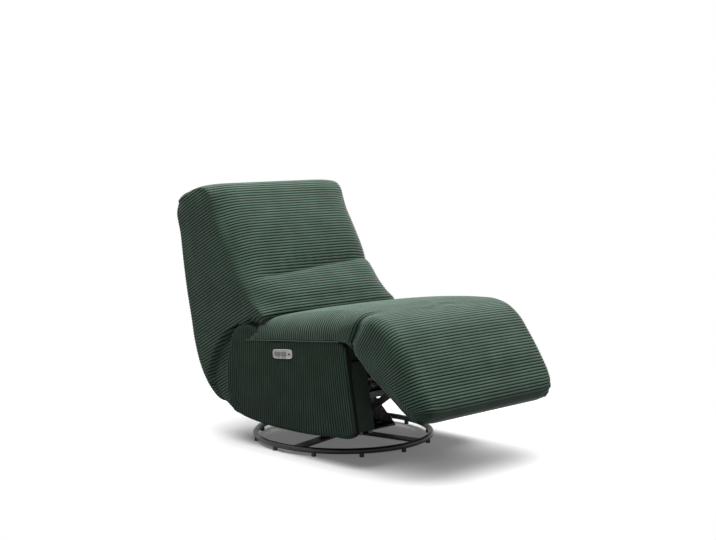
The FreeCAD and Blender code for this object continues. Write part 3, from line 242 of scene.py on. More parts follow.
# The rear edge of the seat's side panel, as a radius from the recline hinge and an angle in degrees
HINGE = np.array([0.190, 0.385])
PANEL_RADIUS = [0.0, 0.076, 0.083, 0.088, 0.093, 0.128, 0.169, 0.2084, 0.2453, 0.266, 0.273, 0.300, 0.312]
PANEL_ANGLE = [150, 120, 92, 40, -15, -41.3, -53, -62.6, -70.3, -76.6, -87.9, -107.4, -150]
RECLINE = 28.0


def back_half(p):
    """Half the back's width: full, but drawn in behind the seat panel, at rest and where a full recline carries it."""
    arm = p[..., 1:] - HINGE
    radius = np.linalg.norm(arm, axis=-1)
    angle = np.degrees(np.arctan2(arm[..., 1], arm[..., 0]))
    margin = radius * np.radians(angle - RECLINE - np.interp(radius, PANEL_RADIUS, PANEL_ANGLE))
    margin = np.where(p[..., 2] > 0.47, 1.0, margin)
    tucked = smooth(0.505 - p[..., 2], 0, 0.03) * smooth(0.175 - p[..., 1], 0, 0.03)
    return TAIL_HALF + (BACK_HALF - TAIL_HALF) * smooth(margin, 0.014, 0.050) * (1 - tucked)


closing = np.clip(gap / 0.060, 0, 1)
row_width = (1 - 0.07 * (1 - np.sqrt(1 - (1 - closing) ** 2)))[:, None]


def wrap_back(chain, other, x, inset, relief):
    """A chain carried across X: inset towards the other chain at the edges, and moved by relief along the same way."""
    way = other - chain
    gap = np.linalg.norm(way, axis=1, keepdims=True)
    way = way / np.maximum(gap, 1e-9)
    most = 0.46 * gap
    depth = np.minimum(inset, most) + relief * smooth(gap, 0.0, 0.05)
    p = np.empty(depth.shape + (3,))
    p[..., 1] = chain[:, :1] + way[:, :1] * depth
    p[..., 2] = chain[:, 1:] + way[:, 1:] * depth
    p[..., 0] = x * row_width * back_half(p) / BACK_HALF
    return p


def round_corner(p, corner, inner, reach, amount):
    """Points near a corner on either side, drawn towards a point inside by an amount that falls off with distance."""
    side = np.sign(p[..., :1])
    tip = np.concatenate([side * corner[0], np.full_like(side, corner[1]), np.full_like(side, corner[2])], axis=-1)
    core = np.concatenate([side * inner[0], np.full_like(side, inner[1]), np.full_like(side, inner[2])], axis=-1)
    near = np.clip(1 - np.linalg.norm(p - tip, axis=-1, keepdims=True) / reach, 0, 1)
    way = core - p
    return p + way / np.maximum(np.linalg.norm(way, axis=-1, keepdims=True), 1e-9) * amount * near ** 1.5


print("back half width", BACK_HALF, "narrowing to", TAIL_HALF)

# %% [markdown]
# The face is padded above and below a soft crease over the lumbar roll, with small puckers just above the crease.
# The crease wanders a little and fades towards one side, as a sewn crease does.

# %% Back relief
FRONT_TURN = 0.056
CREASE_Z, ROLL_Z, UPPER_Z = 0.672, 0.59, 0.85
ROLL_SWELL, UPPER_SWELL = 0.013, 0.012
CREASE_DEPTH, PUCKER = 0.020, 0.0026


def nearest_row(line, y, z):
    """The row of a line that is closest to a point."""
    return int(np.argmin(np.hypot(line[:, 0] - y, line[:, 1] - z)))


x_front, inset_front = edge_columns(BACK_HALF, 0.130, FRONT_TURN, 28, 16)
x_rear, inset_rear = edge_columns(BACK_HALF, 0.028, 0.026, 40, 10)
seam = (1 - smooth(gap, 0.002, 0.05))[:, None]
x_rear_rows = x_rear[None, :] * (1 - seam) + x_front[None, :] * seam
s = x_front / BACK_HALF
crown_row, lumbar_row = nearest_row(front, 0.372, 0.981), nearest_row(front, 0.056, 0.517)
face_rows = slice(lumbar_row, crown_row)
crease_run, lumbar_run, upper_run = np.interp([CREASE_Z, ROLL_Z, UPPER_Z], front[face_rows, 1], run[face_rows])
crown = 1 - np.abs(s) ** 4
fade = smooth(s, -0.98, -0.55) * (1 - 0.35 * smooth(s, 0.75, 1.0))
wander = 0.030 * s + 0.0015 * np.sin(7 * s + 0.6) + 0.0008 * np.sin(17 * s)
above = run[:, None] - crease_run - wander[None, :]
blunt = np.sqrt(above ** 2 + 0.004 ** 2) - 0.004
groove = np.where(above > 0, np.exp(-blunt / 0.036), np.exp(-blunt / 0.015))
relief = (-ROLL_SWELL * crown[None, :] * bump(run[:, None], lumbar_run, 0.070)
          - UPPER_SWELL * crown[None, :] * bump(run[:, None], upper_run, 0.16)
          + CREASE_DEPTH * fade[None, :] * groove)
pucker = bump(run[:, None], crease_run + 0.032, 0.026) * smooth(s, -0.8, -0.5) * (1 - smooth(s, 0.5, 0.8))
relief = relief + PUCKER * pucker * np.sin(64 * s + 3 * np.sin(9 * s))
relief = relief * smooth(front[:, 1], 0.50, 0.54)[:, None]
turned_rows = 0.22 + 0.78 * smooth(run, run[lumbar_row] - 0.02, run[lumbar_row] + 0.12)[:, None]
turned_rows = turned_rows * (1 - 0.60 * smooth(run, run[crown_row] - 0.12, run[crown_row] + 0.02)[:, None])
square_rear = 1 - 0.8 * smooth(rear[:, 1], 0.78, 0.90)[:, None]
back_front = wrap_back(front, rear, x_front[None, :], inset_front[None, :] * turned_rows, relief)
back_rear = wrap_back(rear, front, x_rear_rows, inset_rear[None, :] * square_rear, np.zeros((BACK_ROWS, len(x_rear))))
print("back relief from", round(relief.min(), 4), "to", round(relief.max(), 4))

# %% [markdown]
# Two side panels close the back between its front and its rear. Their ribs slope.
# The front's ribs turn into the sloping ones where the cloth goes round the edge.

# %% Back side panels and ribs


def side_panel(edge_a, edge_b, columns, bulge):
    """Straight lines between two edges, set to the back's own half width and pushed out by a low arch."""
    k = np.linspace(0, 1, columns)[None, :, None]
    p = edge_a[:, None] * (1 - k) + edge_b[:, None] * k
    arch = smooth(k[..., 0], 0, 0.35) * (1 - smooth(k[..., 0], 0.65, 1))
    wide = (back_half(p) + bulge * arch * smooth(p[..., 2], 0.42, 0.60)) * row_width
    p[..., 0] = np.sign(edge_a[:, :1]) * wide
    return p


def ribbed(p, phase, amount, outward):
    """Ribs added along the grid's normals, turned to face outward, with a middle tone where they fade out."""
    n = patch_normals(p)
    flip = np.where((n * outward).sum(axis=2, keepdims=True) < 0, -1.0, 1.0)
    height = wale_height(phase) * amount
    return p + n * flip * (RIDGE * height)[..., None], height + PLAIN_TONE * (1 - amount)


SIDE_SLOPE = math.radians(28)
ACROSS = np.array([math.sin(SIDE_SLOPE), math.cos(SIDE_SLOPE)])
ACROSS = ACROSS / (ACROSS @ UP)


def rib_phase(p):
    """Lengths square to the side ribs, scaled to keep step with the front's rows and counted in ribs."""
    return ((p[..., 1] - LUMBAR[0]) * ACROSS[0] + (p[..., 2] - LUMBAR[1]) * ACROSS[1]) / WALE


front_phase = np.repeat(((run - run[lumbar_row]) / WALE)[:, None], len(x_front), axis=1)
rear_phase = np.repeat((run_along(rear) / WALE)[:, None], len(x_rear), axis=1)
turn_share = smooth(np.clip(inset_front / FRONT_TURN, 0, 1)[None, :], 0.25, 1.0)
front_phase = front_phase * (1 - turn_share) + rib_phase(back_front) * turn_share
CAP_COLUMNS, CAP_BULGE = 28, 0.004
cap_left = side_panel(back_front[:, -1], back_rear[:, -1], CAP_COLUMNS, CAP_BULGE)
cap_right = side_panel(back_front[:, 0], back_rear[:, 0], CAP_COLUMNS, CAP_BULGE)
TOP_CORNER, TOP_CORE = (BACK_HALF, 0.592, 0.930), (0.29, 0.50, 0.86)
back_front, back_rear, cap_left, cap_right = (round_corner(p, TOP_CORNER, TOP_CORE, reach=0.060, amount=0.010)
                                              for p in (back_front, back_rear, cap_left, cap_right))
back_middle = np.array([0, 0.33, 0.65])
to_left = np.array([1.0, 0, 0])
full = smooth(gap, 0.004, 0.030)[:, None]
patches = [
    ribbed(back_front, front_phase, full, back_front - back_middle),
    ribbed(back_rear, rear_phase, full, back_rear - back_middle),
    ribbed(cap_left, rib_phase(cap_left), full, to_left),
    ribbed(cap_right, rib_phase(cap_right), full, -to_left),
]


def stitch(edge_patch, column, cap, cap_column):
    """Give a side panel the exact edge points of the wrap that it is sewn to."""
    cap[0][:, cap_column] = edge_patch[0][:, column]
    cap[1][:, cap_column] = edge_patch[1][:, column]


stitch(patches[0], -1, patches[2], 0)
stitch(patches[1], -1, patches[2], -1)
stitch(patches[0], 0, patches[3], 0)
stitch(patches[1], 0, patches[3], -1)
back_cover = make_piece("back_cover", patches)

# %% [markdown]
# The seat and the footrest share one cover: the seat's top runs on over the knee and down to the toe.
# Its sides are quarter-round, because foam pulls the cloth in down to the seam on the side panel.

# %% Seat and footrest lines
SEAT_HALF = 0.366
# Each row holds the top line and the line that the sides are drawn in to, as y, z, y, z
TOP_LINE = [(0.168, 0.416, 0.150, 0.414), (0.140, 0.452, 0.120, 0.422), (0.095, 0.485, 0.080, 0.430),
            (0.040, 0.508, 0.030, 0.436), (-0.050, 0.528, -0.050, 0.444), (-0.150, 0.545, -0.150, 0.453),
            (-0.250, 0.558, -0.250, 0.462), (-0.344, 0.567, -0.335, 0.470), (-0.425, 0.571, -0.385, 0.472),
            (-0.498, 0.570, -0.430, 0.462), (-0.556, 0.554, -0.470, 0.436), (-0.606, 0.521, -0.508, 0.405),
            (-0.656, 0.462, -0.550, 0.372), (-0.706, 0.393, -0.606, 0.334), (-0.748, 0.327, -0.662, 0.290),
            (-0.772, 0.282, -0.706, 0.257), (-0.777, 0.255, -0.718, 0.245), (-0.767, 0.231, -0.724, 0.233),
            (-0.744, 0.216, -0.728, 0.226)]
# The underside at the edges, and in the middle where it clears the hinge, row for row with the top line
UNDER_LINE = [(0.168, 0.412, 0.168, 0.412), (0.140, 0.413, 0.140, 0.413), (0.095, 0.4165, 0.095, 0.4165),
              (0.040, 0.4215, 0.040, 0.4215), (-0.050, 0.4305, -0.050, 0.4305), (-0.150, 0.440, -0.150, 0.440),
              (-0.250, 0.450, -0.250, 0.450), (-0.340, 0.4585, -0.340, 0.4585), (-0.392, 0.455, -0.378, 0.4655),
              (-0.430, 0.424, -0.440, 0.476), (-0.470, 0.391, -0.462, 0.505), (-0.512, 0.353, -0.525, 0.497),
              (-0.562, 0.320, -0.545, 0.440), (-0.626, 0.277, -0.520, 0.392), (-0.674, 0.244, -0.600, 0.314),
              (-0.708, 0.225, -0.668, 0.260), (-0.722, 0.217, -0.706, 0.236), (-0.732, 0.213, -0.728, 0.220),
              (-0.742, 0.212, -0.742, 0.212)]
seat_dense = smooth_line(np.hstack([TOP_LINE, UNDER_LINE]), 3000)
SEAT_ROWS = 5 * round(run_along(seat_dense[:, :2])[-1] / WALE) + 1
seat_line = even(seat_dense, SEAT_ROWS)
top, spine, under_edge, under_mid = (seat_line[:, k:k + 2] for k in (0, 2, 4, 6))
seat_run = run_along(top)
print("seat and footrest rows", SEAT_ROWS, "length", round(seat_run[-1], 3))

# %% [markdown]
# The top line is carried across X and turned down at both edges, and the flat side below is drawn in to the spine.
# The underside has its own line, which is hollow in the middle to clear the hinge.

# %% Seat and footrest grids


def seat_columns(half, radius, across, turned, capped):
    """Columns across X for an edge rounded row by row and the flat side below it: x, inset, share of the way in."""
    turn = np.linspace(0, math.pi / 2, turned + 1)[1:][None, :]
    radius = radius[:, None]
    flat = np.linspace(-1, 1, across)[None, :] * (half - radius)
    side_x, side_in = half - radius + radius * np.sin(turn), radius * (1 - np.cos(turn))
    cap = np.linspace(0, 1, capped + 1)[1:]
    edge_x, edge_in = np.full((len(radius), capped), half), np.repeat(radius, capped, axis=1)
    x = np.hstack([-edge_x, -side_x[:, ::-1], flat, side_x, edge_x])
    inset = np.hstack([edge_in, side_in[:, ::-1], 0 * flat, side_in, edge_in])
    inward = np.concatenate([cap[::-1], np.zeros(x.shape[1] - 2 * capped), cap])
    return x, inset, inward


def draw_in(line, spine, x, inset, inward, lift):
    """A line carried across X: drawn towards the spine at the rounded edges, and all the way to it on the flat side."""
    way = spine - line
    gap = np.linalg.norm(way, axis=-1, keepdims=True)
    way = way / np.maximum(gap, 1e-9)
    depth = np.minimum(inset, gap[..., 0] * 0.93)
    depth = depth + (gap[..., 0] - depth) * inward[None, :] - lift
    p = np.empty(depth.shape + (3,))
    p[..., 0] = x
    p[..., 1] = line[..., 0] + way[..., 0] * depth
    p[..., 2] = line[..., 1] + way[..., 1] * depth
    return p


FOLD_RUN, FOLD_DEPTH = 0.672, 0.013
RIPPLE_RUN, RIPPLE_HEIGHT = 0.700, 0.0045
SEAT_CROWN, FOOT_CROWN = 0.008, 0.007
UNDER_ROUND = 0.012
edge_radius = 0.082 - 0.042 * smooth(seat_run, 0.50, 0.74) - 0.050 * (1 - smooth(seat_run, 0.02, 0.24))
x_rows, inset_rows, inward_seat = seat_columns(SEAT_HALF, edge_radius, 44, 14, 6)
x_seat = x_rows[0]
s = x_seat / SEAT_HALF
bow = (1 - np.clip(np.abs(s), 0, 1) ** 2.5) * (inward_seat == 0)
seat_zone = smooth(seat_run, 0.02, 0.10) * (1 - smooth(seat_run, 0.60, 0.74))
foot_zone = smooth(seat_run, 0.66, 0.80) * (1 - smooth(seat_run, 0.98, 1.06))
lift = SEAT_CROWN * bow[None, :] * seat_zone[:, None] + FOOT_CROWN * bow[None, :] * foot_zone[:, None]
fold_at = seat_run[:, None] - FOLD_RUN + 0.030 * (1 + s[None, :])
fold = np.where(fold_at > 0, bump(fold_at, 0, 0.030), bump(fold_at, 0, 0.010))
fold = FOLD_DEPTH * fold * smooth(-s, 0.70, 0.97)[None, :]
knee = bump(seat_run[:, None], RIPPLE_RUN, 0.045) * ((0.25 + bump(s, 0.05, 0.22)) * bow)[None, :]
ripple = RIPPLE_HEIGHT * knee * np.sin(seat_run[:, None] / 0.013 + (5 * s + 1.5 * np.sin(14 * s))[None, :])
toe = bump(seat_run, seat_run[-1] - 0.045, 0.040)[:, None] * bump(np.abs(s), 0.90, 0.08)[None, :]
gather = toe * (0.004 + 0.0030 * np.sin(seat_run[:, None] / 0.0052 + 16 * s[None, :]))
lift = lift - fold + ripple + gather
x_rows = x_rows - np.sign(s)[None, :] * fold * inset_rows / edge_radius[:, None]
top_grid = draw_in(top[:, None], spine[:, None], x_rows, inset_rows, inward_seat, lift)
hollow = (1 - smooth(np.abs(s), 0.86, 0.965))[None, :, None]
under = under_edge[:, None] * (1 - hollow) + under_mid[:, None] * hollow
way = spine[:, None] - under
depth = np.clip(np.abs(x_rows) - (SEAT_HALF - UNDER_ROUND), 0, UNDER_ROUND)[..., None] * 0.5
reach = np.maximum(np.linalg.norm(way, axis=-1, keepdims=True), 1e-9)
way = way / reach
under_grid = np.empty((SEAT_ROWS, len(x_seat), 3))
under_grid[..., 0] = x_rows
under_grid[..., 1:] = under + way * np.minimum(depth + (reach - depth) * inward_seat[None, :, None], reach)
TOE_CORNER, TOE_CORE = (SEAT_HALF, -0.776, 0.240), (0.28, -0.70, 0.30)
top_grid, under_grid = (round_corner(p, TOE_CORNER, TOE_CORE, reach=0.095, amount=0.020)
                        for p in (top_grid, under_grid))
print("seat grids", top_grid.shape[:2], under_grid.shape[:2])

# %% [markdown]
# The ribs run across the seat and the footrest and down their sides. They fade out at the rear and along the toe.

# %% Seat and footrest ribs
seat_phase = np.repeat((seat_run / WALE)[:, None], len(x_seat), axis=1)
center = np.concatenate([np.zeros((SEAT_ROWS, 1)), spine], axis=1)[:, None]
ends = (smooth(seat_run, 0.0, 0.03) * (1 - smooth(seat_run, seat_run[-1] - 0.070, seat_run[-1] - 0.045)))[:, None]
top_patch = ribbed(top_grid, seat_phase, ends, top_grid - center)
under_patch = ribbed(under_grid, seat_phase, ends * smooth(inward_seat, 0.0, 0.35)[None, :], under_grid - center)
top_patch[0][0], top_patch[0][-1] = top_grid[0], top_grid[-1]
for row in (0, -1):
    under_patch[0][row] = top_grid[row]
for column in (0, -1):
    stitch(top_patch, column, under_patch, column)
seat_cover = make_piece("seat_footrest_cover", [top_patch, under_patch])

# %% [markdown]
# Each side panel is a padded board with upright ribs and a soft rounded edge.
# Its outline is two heights for every y, so ribs follow the columns of the grid.

# %% Side panels
SIDE_TOP = [(-0.4375, 0.141), (-0.4235, 0.215), (-0.4015, 0.332), (-0.3835, 0.434), (-0.374, 0.452), (-0.345, 0.466),
            (-0.100, 0.4435), (0.030, 0.434), (0.060, 0.447), (0.105, 0.468), (0.148, 0.475), (0.190, 0.472),
            (0.222, 0.460), (0.247, 0.435), (0.263, 0.402), (0.275, 0.358), (0.2865, 0.301), (0.2915, 0.250)]
SIDE_BOTTOM = [(-0.4375, 0.139), (-0.429, 0.128), (-0.411, 0.1175), (-0.300, 0.104), (-0.150, 0.0935), (-0.020, 0.091),
               (0.100, 0.0965), (0.200, 0.110), (0.2515, 0.125), (0.2725, 0.154), (0.286, 0.200), (0.2915, 0.248)]


SIDE_FRONT, SIDE_REAR, SIDE_LEVELS = -0.4375, 0.2915, 44
SIDE_BACK, SIDE_THICK, SIDE_ROUND = 0.3465, 0.0185, 0.014


def distance_to(points, line):
    """The shortest distance from each point to a polyline."""
    a, b = line[:-1], line[1:]
    d = b - a
    t = np.clip(((points[..., None, :] - a) * d).sum(-1) / (d * d).sum(-1), 0, 1)
    return np.linalg.norm(points[..., None, :] - (a + t[..., None] * d), axis=-1).min(axis=-1)


side_top_line = smooth_line(SIDE_TOP, 160)
side_bottom_line = smooth_line(SIDE_BOTTOM, 160)
side_y = np.linspace(SIDE_FRONT, SIDE_REAR, 5 * round((SIDE_REAR - SIDE_FRONT) / WALE) + 1)
high = np.interp(side_y, side_top_line[:, 0], side_top_line[:, 1])
low = np.interp(side_y, side_bottom_line[:, 0], side_bottom_line[:, 1])
level = (1 - np.cos(np.linspace(0, math.pi, SIDE_LEVELS))) / 2
panel_y, panel_z = np.broadcast_arrays(side_y[:, None], low[:, None] + (high - low)[:, None] * level)
side_points = np.stack([panel_y, panel_z], axis=-1)
outline = np.vstack([side_top_line, side_bottom_line[::-1]])[::3]
outline = np.vstack([outline, outline[:1]])
inset = distance_to(side_points, outline)
edge = np.sqrt(np.clip(1 - (1 - np.clip(inset / SIDE_ROUND, 0, 1)) ** 2, 0, 1))
rear_low = bump(panel_y, 0.235, 0.055) * bump(panel_z, 0.165, 0.06)
slant = 0.188 * (panel_z - 0.289) * (1 - smooth(panel_y, -0.42, -0.12))
# The ribs fade out on the rounded rim, so the wale attribute falls to 0 there and the rim takes the near-black groove
# colour: painted shade.
panel_wale = wale_height((panel_y - slant) / WALE) * edge
panel_x = SIDE_BACK + SIDE_THICK * edge + 0.0012 * smooth(inset, 0.01, 0.12)
panel_x = panel_x - 0.0022 * rear_low * (1 + np.sin((panel_y - panel_z) / 0.0065)) * edge + RIDGE * panel_wale


def side_cover(name, side):
    """The outer face and the flat back of one side panel."""
    outer = np.concatenate([(side * panel_x)[..., None], side_points], axis=-1)
    flat = np.concatenate([np.full(panel_x.shape + (1,), side * SIDE_BACK), side_points], axis=-1)
    outer[:, (0, -1)] = flat[:, (0, -1)]
    if side < 0:
        return make_piece(name, [(outer, panel_wale), (flat[:, ::-1], 0.5)])
    return make_piece(name, [(outer[:, ::-1], panel_wale[:, ::-1]), (flat, 0.5)])


side_cover_left = side_cover("side_cover_left", 1)
side_cover_right = side_cover("side_cover_right", -1)

# %% [markdown]
# A row of topstitching runs along the seam between the seat and each side panel.
# It is a thin tube whose radius swells once per stitch, so the thread seems to dip into the cloth between stitches.

# %% Topstitching
STITCH = 0.0075
STITCH_REAR, STITCH_FRONT = 0.165, -0.352
STITCH_OUT, THIN, THICK = 0.0022, 0.0004, 0.0010
stitch_y = np.linspace(STITCH_REAR, STITCH_FRONT, 6 * round((STITCH_REAR - STITCH_FRONT) / STITCH) + 1)
stitch_z = 0.4335 - 0.0973 * (stitch_y + 0.05)
thread = THIN + THICK * np.abs(np.sin(math.pi * (stitch_y - stitch_y[0]) / STITCH)) ** 0.5
thread[[0, -1]] = 0
around = np.linspace(0, 2 * math.pi, 9)


def topstitch(name, side):
    """A tube along the seam: radius `thread` at each step, circle in the X Z plane."""
    p = np.empty((len(stitch_y), len(around), 3))
    p[..., 0] = side * (SEAT_HALF + STITCH_OUT + thread[:, None] * np.cos(around))
    p[..., 1] = stitch_y[:, None]
    p[..., 2] = stitch_z[:, None] + thread[:, None] * np.sin(around)
    return make_piece(name, [(p, np.ones(p.shape[:2]))])


topstitch_left, topstitch_right = topstitch("topstitch_left", 1), topstitch("topstitch_right", -1)

# %% [markdown]
# The control plate is a moulded oblong with rounded ends and a raised rim. It stands for the plain CAD bezel.
# Rings of one outline are carried from the back edge over the rim to the face, then the button windows are cut out.

# %% Control plate
button_low, button_high = (np.mean(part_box(name), axis=0) for name in ("button_open", "button_close"))
PLATE_TILT = math.atan2(button_low[2] - button_high[2], button_low[1] - button_high[1])
plate_middle = np.mean(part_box("control_bezel"), axis=0)
PLATE_HALF = np.array([0.0535, 0.0180])
CUT_FROM, CUT_TO = 0.366, 0.373
# Inset from the outline and distance from the chair's middle plane, from the back over the rim to the face
PLATE_PROFILE = np.array([(1.0, 0.3680), (0.0, 0.3680), (0.0, 0.3698), (0.0006, 0.3706), (0.0018, 0.3710),
                          (0.0030, 0.3706), (0.0040, 0.3696), (1.0, 0.3696)])
WINDOWS = {"button_open": (0.0268, 0.0168), "button_close": (0.0268, 0.0168), "usb_port": (0.0124, 0.0054)}


def on_plate(u, v, out, middle):
    """Plate coordinates, along and up, turned by the plate's tilt about a middle point."""
    y = middle[1] + u * math.cos(PLATE_TILT) - v * math.sin(PLATE_TILT)
    z = middle[2] + u * math.sin(PLATE_TILT) + v * math.cos(PLATE_TILT)
    return np.stack(np.broadcast_arrays(-out, y, z), axis=-1)


def oblong_plate(name):
    """Superellipses of power 5, one for each step of the profile, as closed rings."""
    t = np.linspace(0, 2 * math.pi, 97)
    half = np.maximum(PLATE_HALF - PLATE_PROFILE[:, :1], 0)[:, None]
    c, s = (np.sign(f) * np.abs(f) ** 0.4 for f in (np.cos(t), np.sin(t)))
    grid = on_plate(half[..., 0] * c, half[..., 1] * s, PLATE_PROFILE[:, 1:], plate_middle)
    return make_piece(name, [(grid, 1.0)])


def cut_window(piece, node_name, size):
    """Subtract a box round one control from the plate, and keep the result as the plate's mesh."""
    u, v, out = (np.array(k) for k in ([-1, 1, 1, -1] * 2, [-1, -1, 1, 1] * 2, [CUT_FROM] * 4 + [CUT_TO] * 4))
    corners = on_plate(u * size[0] / 2, v * size[1] / 2, out, np.mean(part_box(node_name), axis=0))
    walls = [(0, 4, 5, 1), (1, 5, 6, 2), (2, 6, 7, 3), (3, 7, 4, 0)]
    mesh = bpy.data.meshes.new("window")
    mesh.from_pydata(corners.tolist(), [], [(0, 1, 2, 3), (7, 6, 5, 4), *walls])
    tool = bpy.data.objects.new("window", mesh)
    bpy.context.collection.objects.link(tool)
    cut = piece.modifiers.new("window", "BOOLEAN")
    cut.operation, cut.object = "DIFFERENCE", tool
    cut_mesh = bpy.data.meshes.new_from_object(piece.evaluated_get(bpy.context.evaluated_depsgraph_get()))
    piece.modifiers.clear()
    piece.data = cut_mesh
    bpy.data.objects.remove(tool)


control_plate = oblong_plate("control_plate")
for node_name, size in WINDOWS.items():
    cut_window(control_plate, node_name, size)
control_plate.data.set_sharp_from_angle(angle=math.radians(35))
print("control plate tilt", round(math.degrees(PLATE_TILT), 2), "faces", len(control_plate.data.polygons))

# %% [markdown]
# Four coil springs hold the rocker level. Each presses on a cross tube, so its top has to follow the seat.
# Each is a helix of wire fixed in place, where a stiff CAD coil would cut into the tube.

# %% Rocker springs
COIL_LOW, COIL_HIGH = 0.0491, 0.165
COIL_RADIUS, WIRE, TURNS = 0.018, 0.0025, 7
COIL_X, COIL_Y = (0.095, -0.095), (-0.095, 0.062)


def coil(x, y):
    """A helix about an upright line: wire circles in the plane of the outward and the upward way."""
    turn = np.linspace(0, 2 * math.pi * TURNS, 24 * TURNS + 1)[:, None]
    round_wire = np.linspace(0, 2 * math.pi, 11)[None, :]
    climb = COIL_LOW + WIRE + (COIL_HIGH - COIL_LOW - 2 * WIRE) * turn / turn[-1]
    wire = np.full(turn.shape, WIRE)
    wire[[0, -1]] = 0
    out = COIL_RADIUS + wire * np.cos(round_wire)
    return np.stack([x + out * np.cos(turn), y + out * np.sin(turn), climb + wire * np.sin(round_wire)], axis=-1)


spring_coils = make_piece("rocker_spring_coils", [(coil(x, y), 1.0) for x in COIL_X for y in COIL_Y])

# %% [markdown]
# One function adds a node with its settings and links. Colours are written as hex and turned to linear light.

# %% Material helpers


def linear(code):
    """An sRGB hex colour as linear red, green, blue and 1."""
    c = np.array([int(code[k:k + 2], 16) for k in (1, 3, 5)]) / 255
    return (*np.where(c <= 0.04045, c / 12.92, ((c + 0.055) / 1.055) ** 2.4).tolist(), 1.0)


def node(tree, kind, inputs=None, **settings):
    """Add a node, set its properties, and set or link each named input."""
    made = tree.nodes.new(kind)
    for key, value in settings.items():
        setattr(made, key, value)
    for key, value in (inputs or {}).items():
        if isinstance(value, bpy.types.NodeSocket):
            tree.links.new(value, made.inputs[key])
        else:
            made.inputs[key].default_value = value
    return made


def new_material(name):
    """An empty node material and its output."""
    material = bpy.data.materials.new(name)
    material.use_nodes = True
    material.node_tree.nodes.clear()
    return material, material.node_tree, node(material.node_tree, "ShaderNodeOutputMaterial")


def noise(tree, grain, detail):
    """Noise in the piece's own space, with a grain size in metres."""
    place = node(tree, "ShaderNodeTexCoord").outputs["Object"]
    return node(tree, "ShaderNodeTexNoise", {"Vector": place, "Scale": 1 / grain, "Detail": detail}).outputs["Fac"]


def stretched(tree, value, low, high):
    """The middle of a noise's range, stretched from low to high."""
    return node(tree, "ShaderNodeMapRange", {"Value": value, "From Min": 0.3, "From Max": 0.7,
                                             "To Min": low, "To Max": high}).outputs["Result"]


def seen_ray(tree):
    """1 for rays from the camera and rays mirrored or let through by things, 0 for bounced light."""
    rays = node(tree, "ShaderNodeLightPath").outputs
    seen = node(tree, "ShaderNodeMath", {0: rays["Is Camera Ray"], 1: rays["Is Glossy Ray"]}, operation="MAXIMUM")
    return node(tree, "ShaderNodeMath", {0: seen.outputs[0], 1: rays["Is Transmission Ray"]},
                operation="MAXIMUM").outputs[0]


# %% [markdown]
# Wide-wale corduroy: cut cotton pile in ridges about 12 mm apart.
# Pile is dark when looked into and pale at grazing angles, so a sheen does the pale edge.
# The ridges are real geometry. The attribute wale darkens the grooves with painted shade, and noise lays the pile in
# patches.

# %% Corduroy


def corduroy(name, groove, ridge, sheen):
    """Ribbed pile cloth: a groove colour of painted shade and a ridge colour by the wale attribute, brushed patches,
    pile grain and sheen.
    """
    material, tree, output = new_material(name)
    wale = node(tree, "ShaderNodeAttribute", attribute_name="wale").outputs["Fac"]
    pile = noise(tree, 0.0022, 2.0)
    lift = node(tree, "ShaderNodeMapRange", {"Value": wale, "From Min": 0.40, "From Max": 1.0}).outputs["Result"]
    # The groove colour at wale 0 is painted shade in the grooves between the ribs.
    colour = node(tree, "ShaderNodeMix", {"Factor": lift, "A": linear(groove), "B": linear(ridge)},
                  data_type="RGBA")
    shade = stretched(tree, noise(tree, 0.09, 3.0), 0.84, 1.14)
    grain = stretched(tree, pile, 0.88, 1.10)
    both = node(tree, "ShaderNodeMath", {0: shade, 1: grain}, operation="MULTIPLY").outputs[0]
    tint = node(tree, "ShaderNodeVectorMath", {0: colour.outputs["Result"], "Scale": both}, operation="SCALE")
    raised = node(tree, "ShaderNodeBump", {"Height": pile, "Strength": 0.25, "Distance": 0.0006})
    surface = node(tree, "ShaderNodeBsdfPrincipled", {
        "Base Color": tint.outputs["Vector"], "Roughness": 0.92, "Specular IOR Level": 0.15,
        "Sheen Weight": sheen, "Sheen Roughness": 0.34, "Sheen Tint": linear("#d8ded9"),
        "Normal": raised.outputs["Normal"]})
    tree.links.new(surface.outputs["BSDF"], output.inputs["Surface"])
    return material


# The near-black groove colours are painted shade in the grooves between the ribs.
cover_cloth = corduroy("corduroy_green", "#030805", "#4b6053", 0.70)
# The sides' cloth is a darker copy of the same corduroy with less sheen: painted shade on the side panels.
shaded_side_cloth = corduroy("corduroy_green_sides_painted_shade", "#020503", "#34483c", 0.18)
print("cloths", cover_cloth.name, shaded_side_cloth.name)

# %% [markdown]
# The frame's own nodes get finishes by their material slot: black powder coat, zinc, wood, plastics. The plywood rails,
# stiles and side frames take a dark lining instead, partly a real dust cover and partly painted shade inside and under
# the frame.

# %% Hard finishes


def hard(name, colour, roughness, metallic=0.0, grain=0.002, depth=0.1, spread=0.08):
    """A hard surface: one colour with slight uneven roughness and a fine bump of a stated grain size."""
    material, tree, output = new_material(name)
    speck, wear = noise(tree, grain, 3.0), noise(tree, 0.06, 4.0)
    rough = stretched(tree, wear, roughness - spread, roughness + spread)
    tone = stretched(tree, wear, 0.9, 1.1)
    tint = node(tree, "ShaderNodeVectorMath", {0: linear(colour)[:3], "Scale": tone}, operation="SCALE")
    raised = node(tree, "ShaderNodeBump", {"Height": speck, "Strength": depth, "Distance": 0.0004})
    surface = node(tree, "ShaderNodeBsdfPrincipled", {
        "Base Color": tint.outputs["Vector"], "Roughness": rough, "Metallic": metallic,
        "Normal": raised.outputs["Normal"]})
    tree.links.new(surface.outputs["BSDF"], output.inputs["Surface"])
    return material


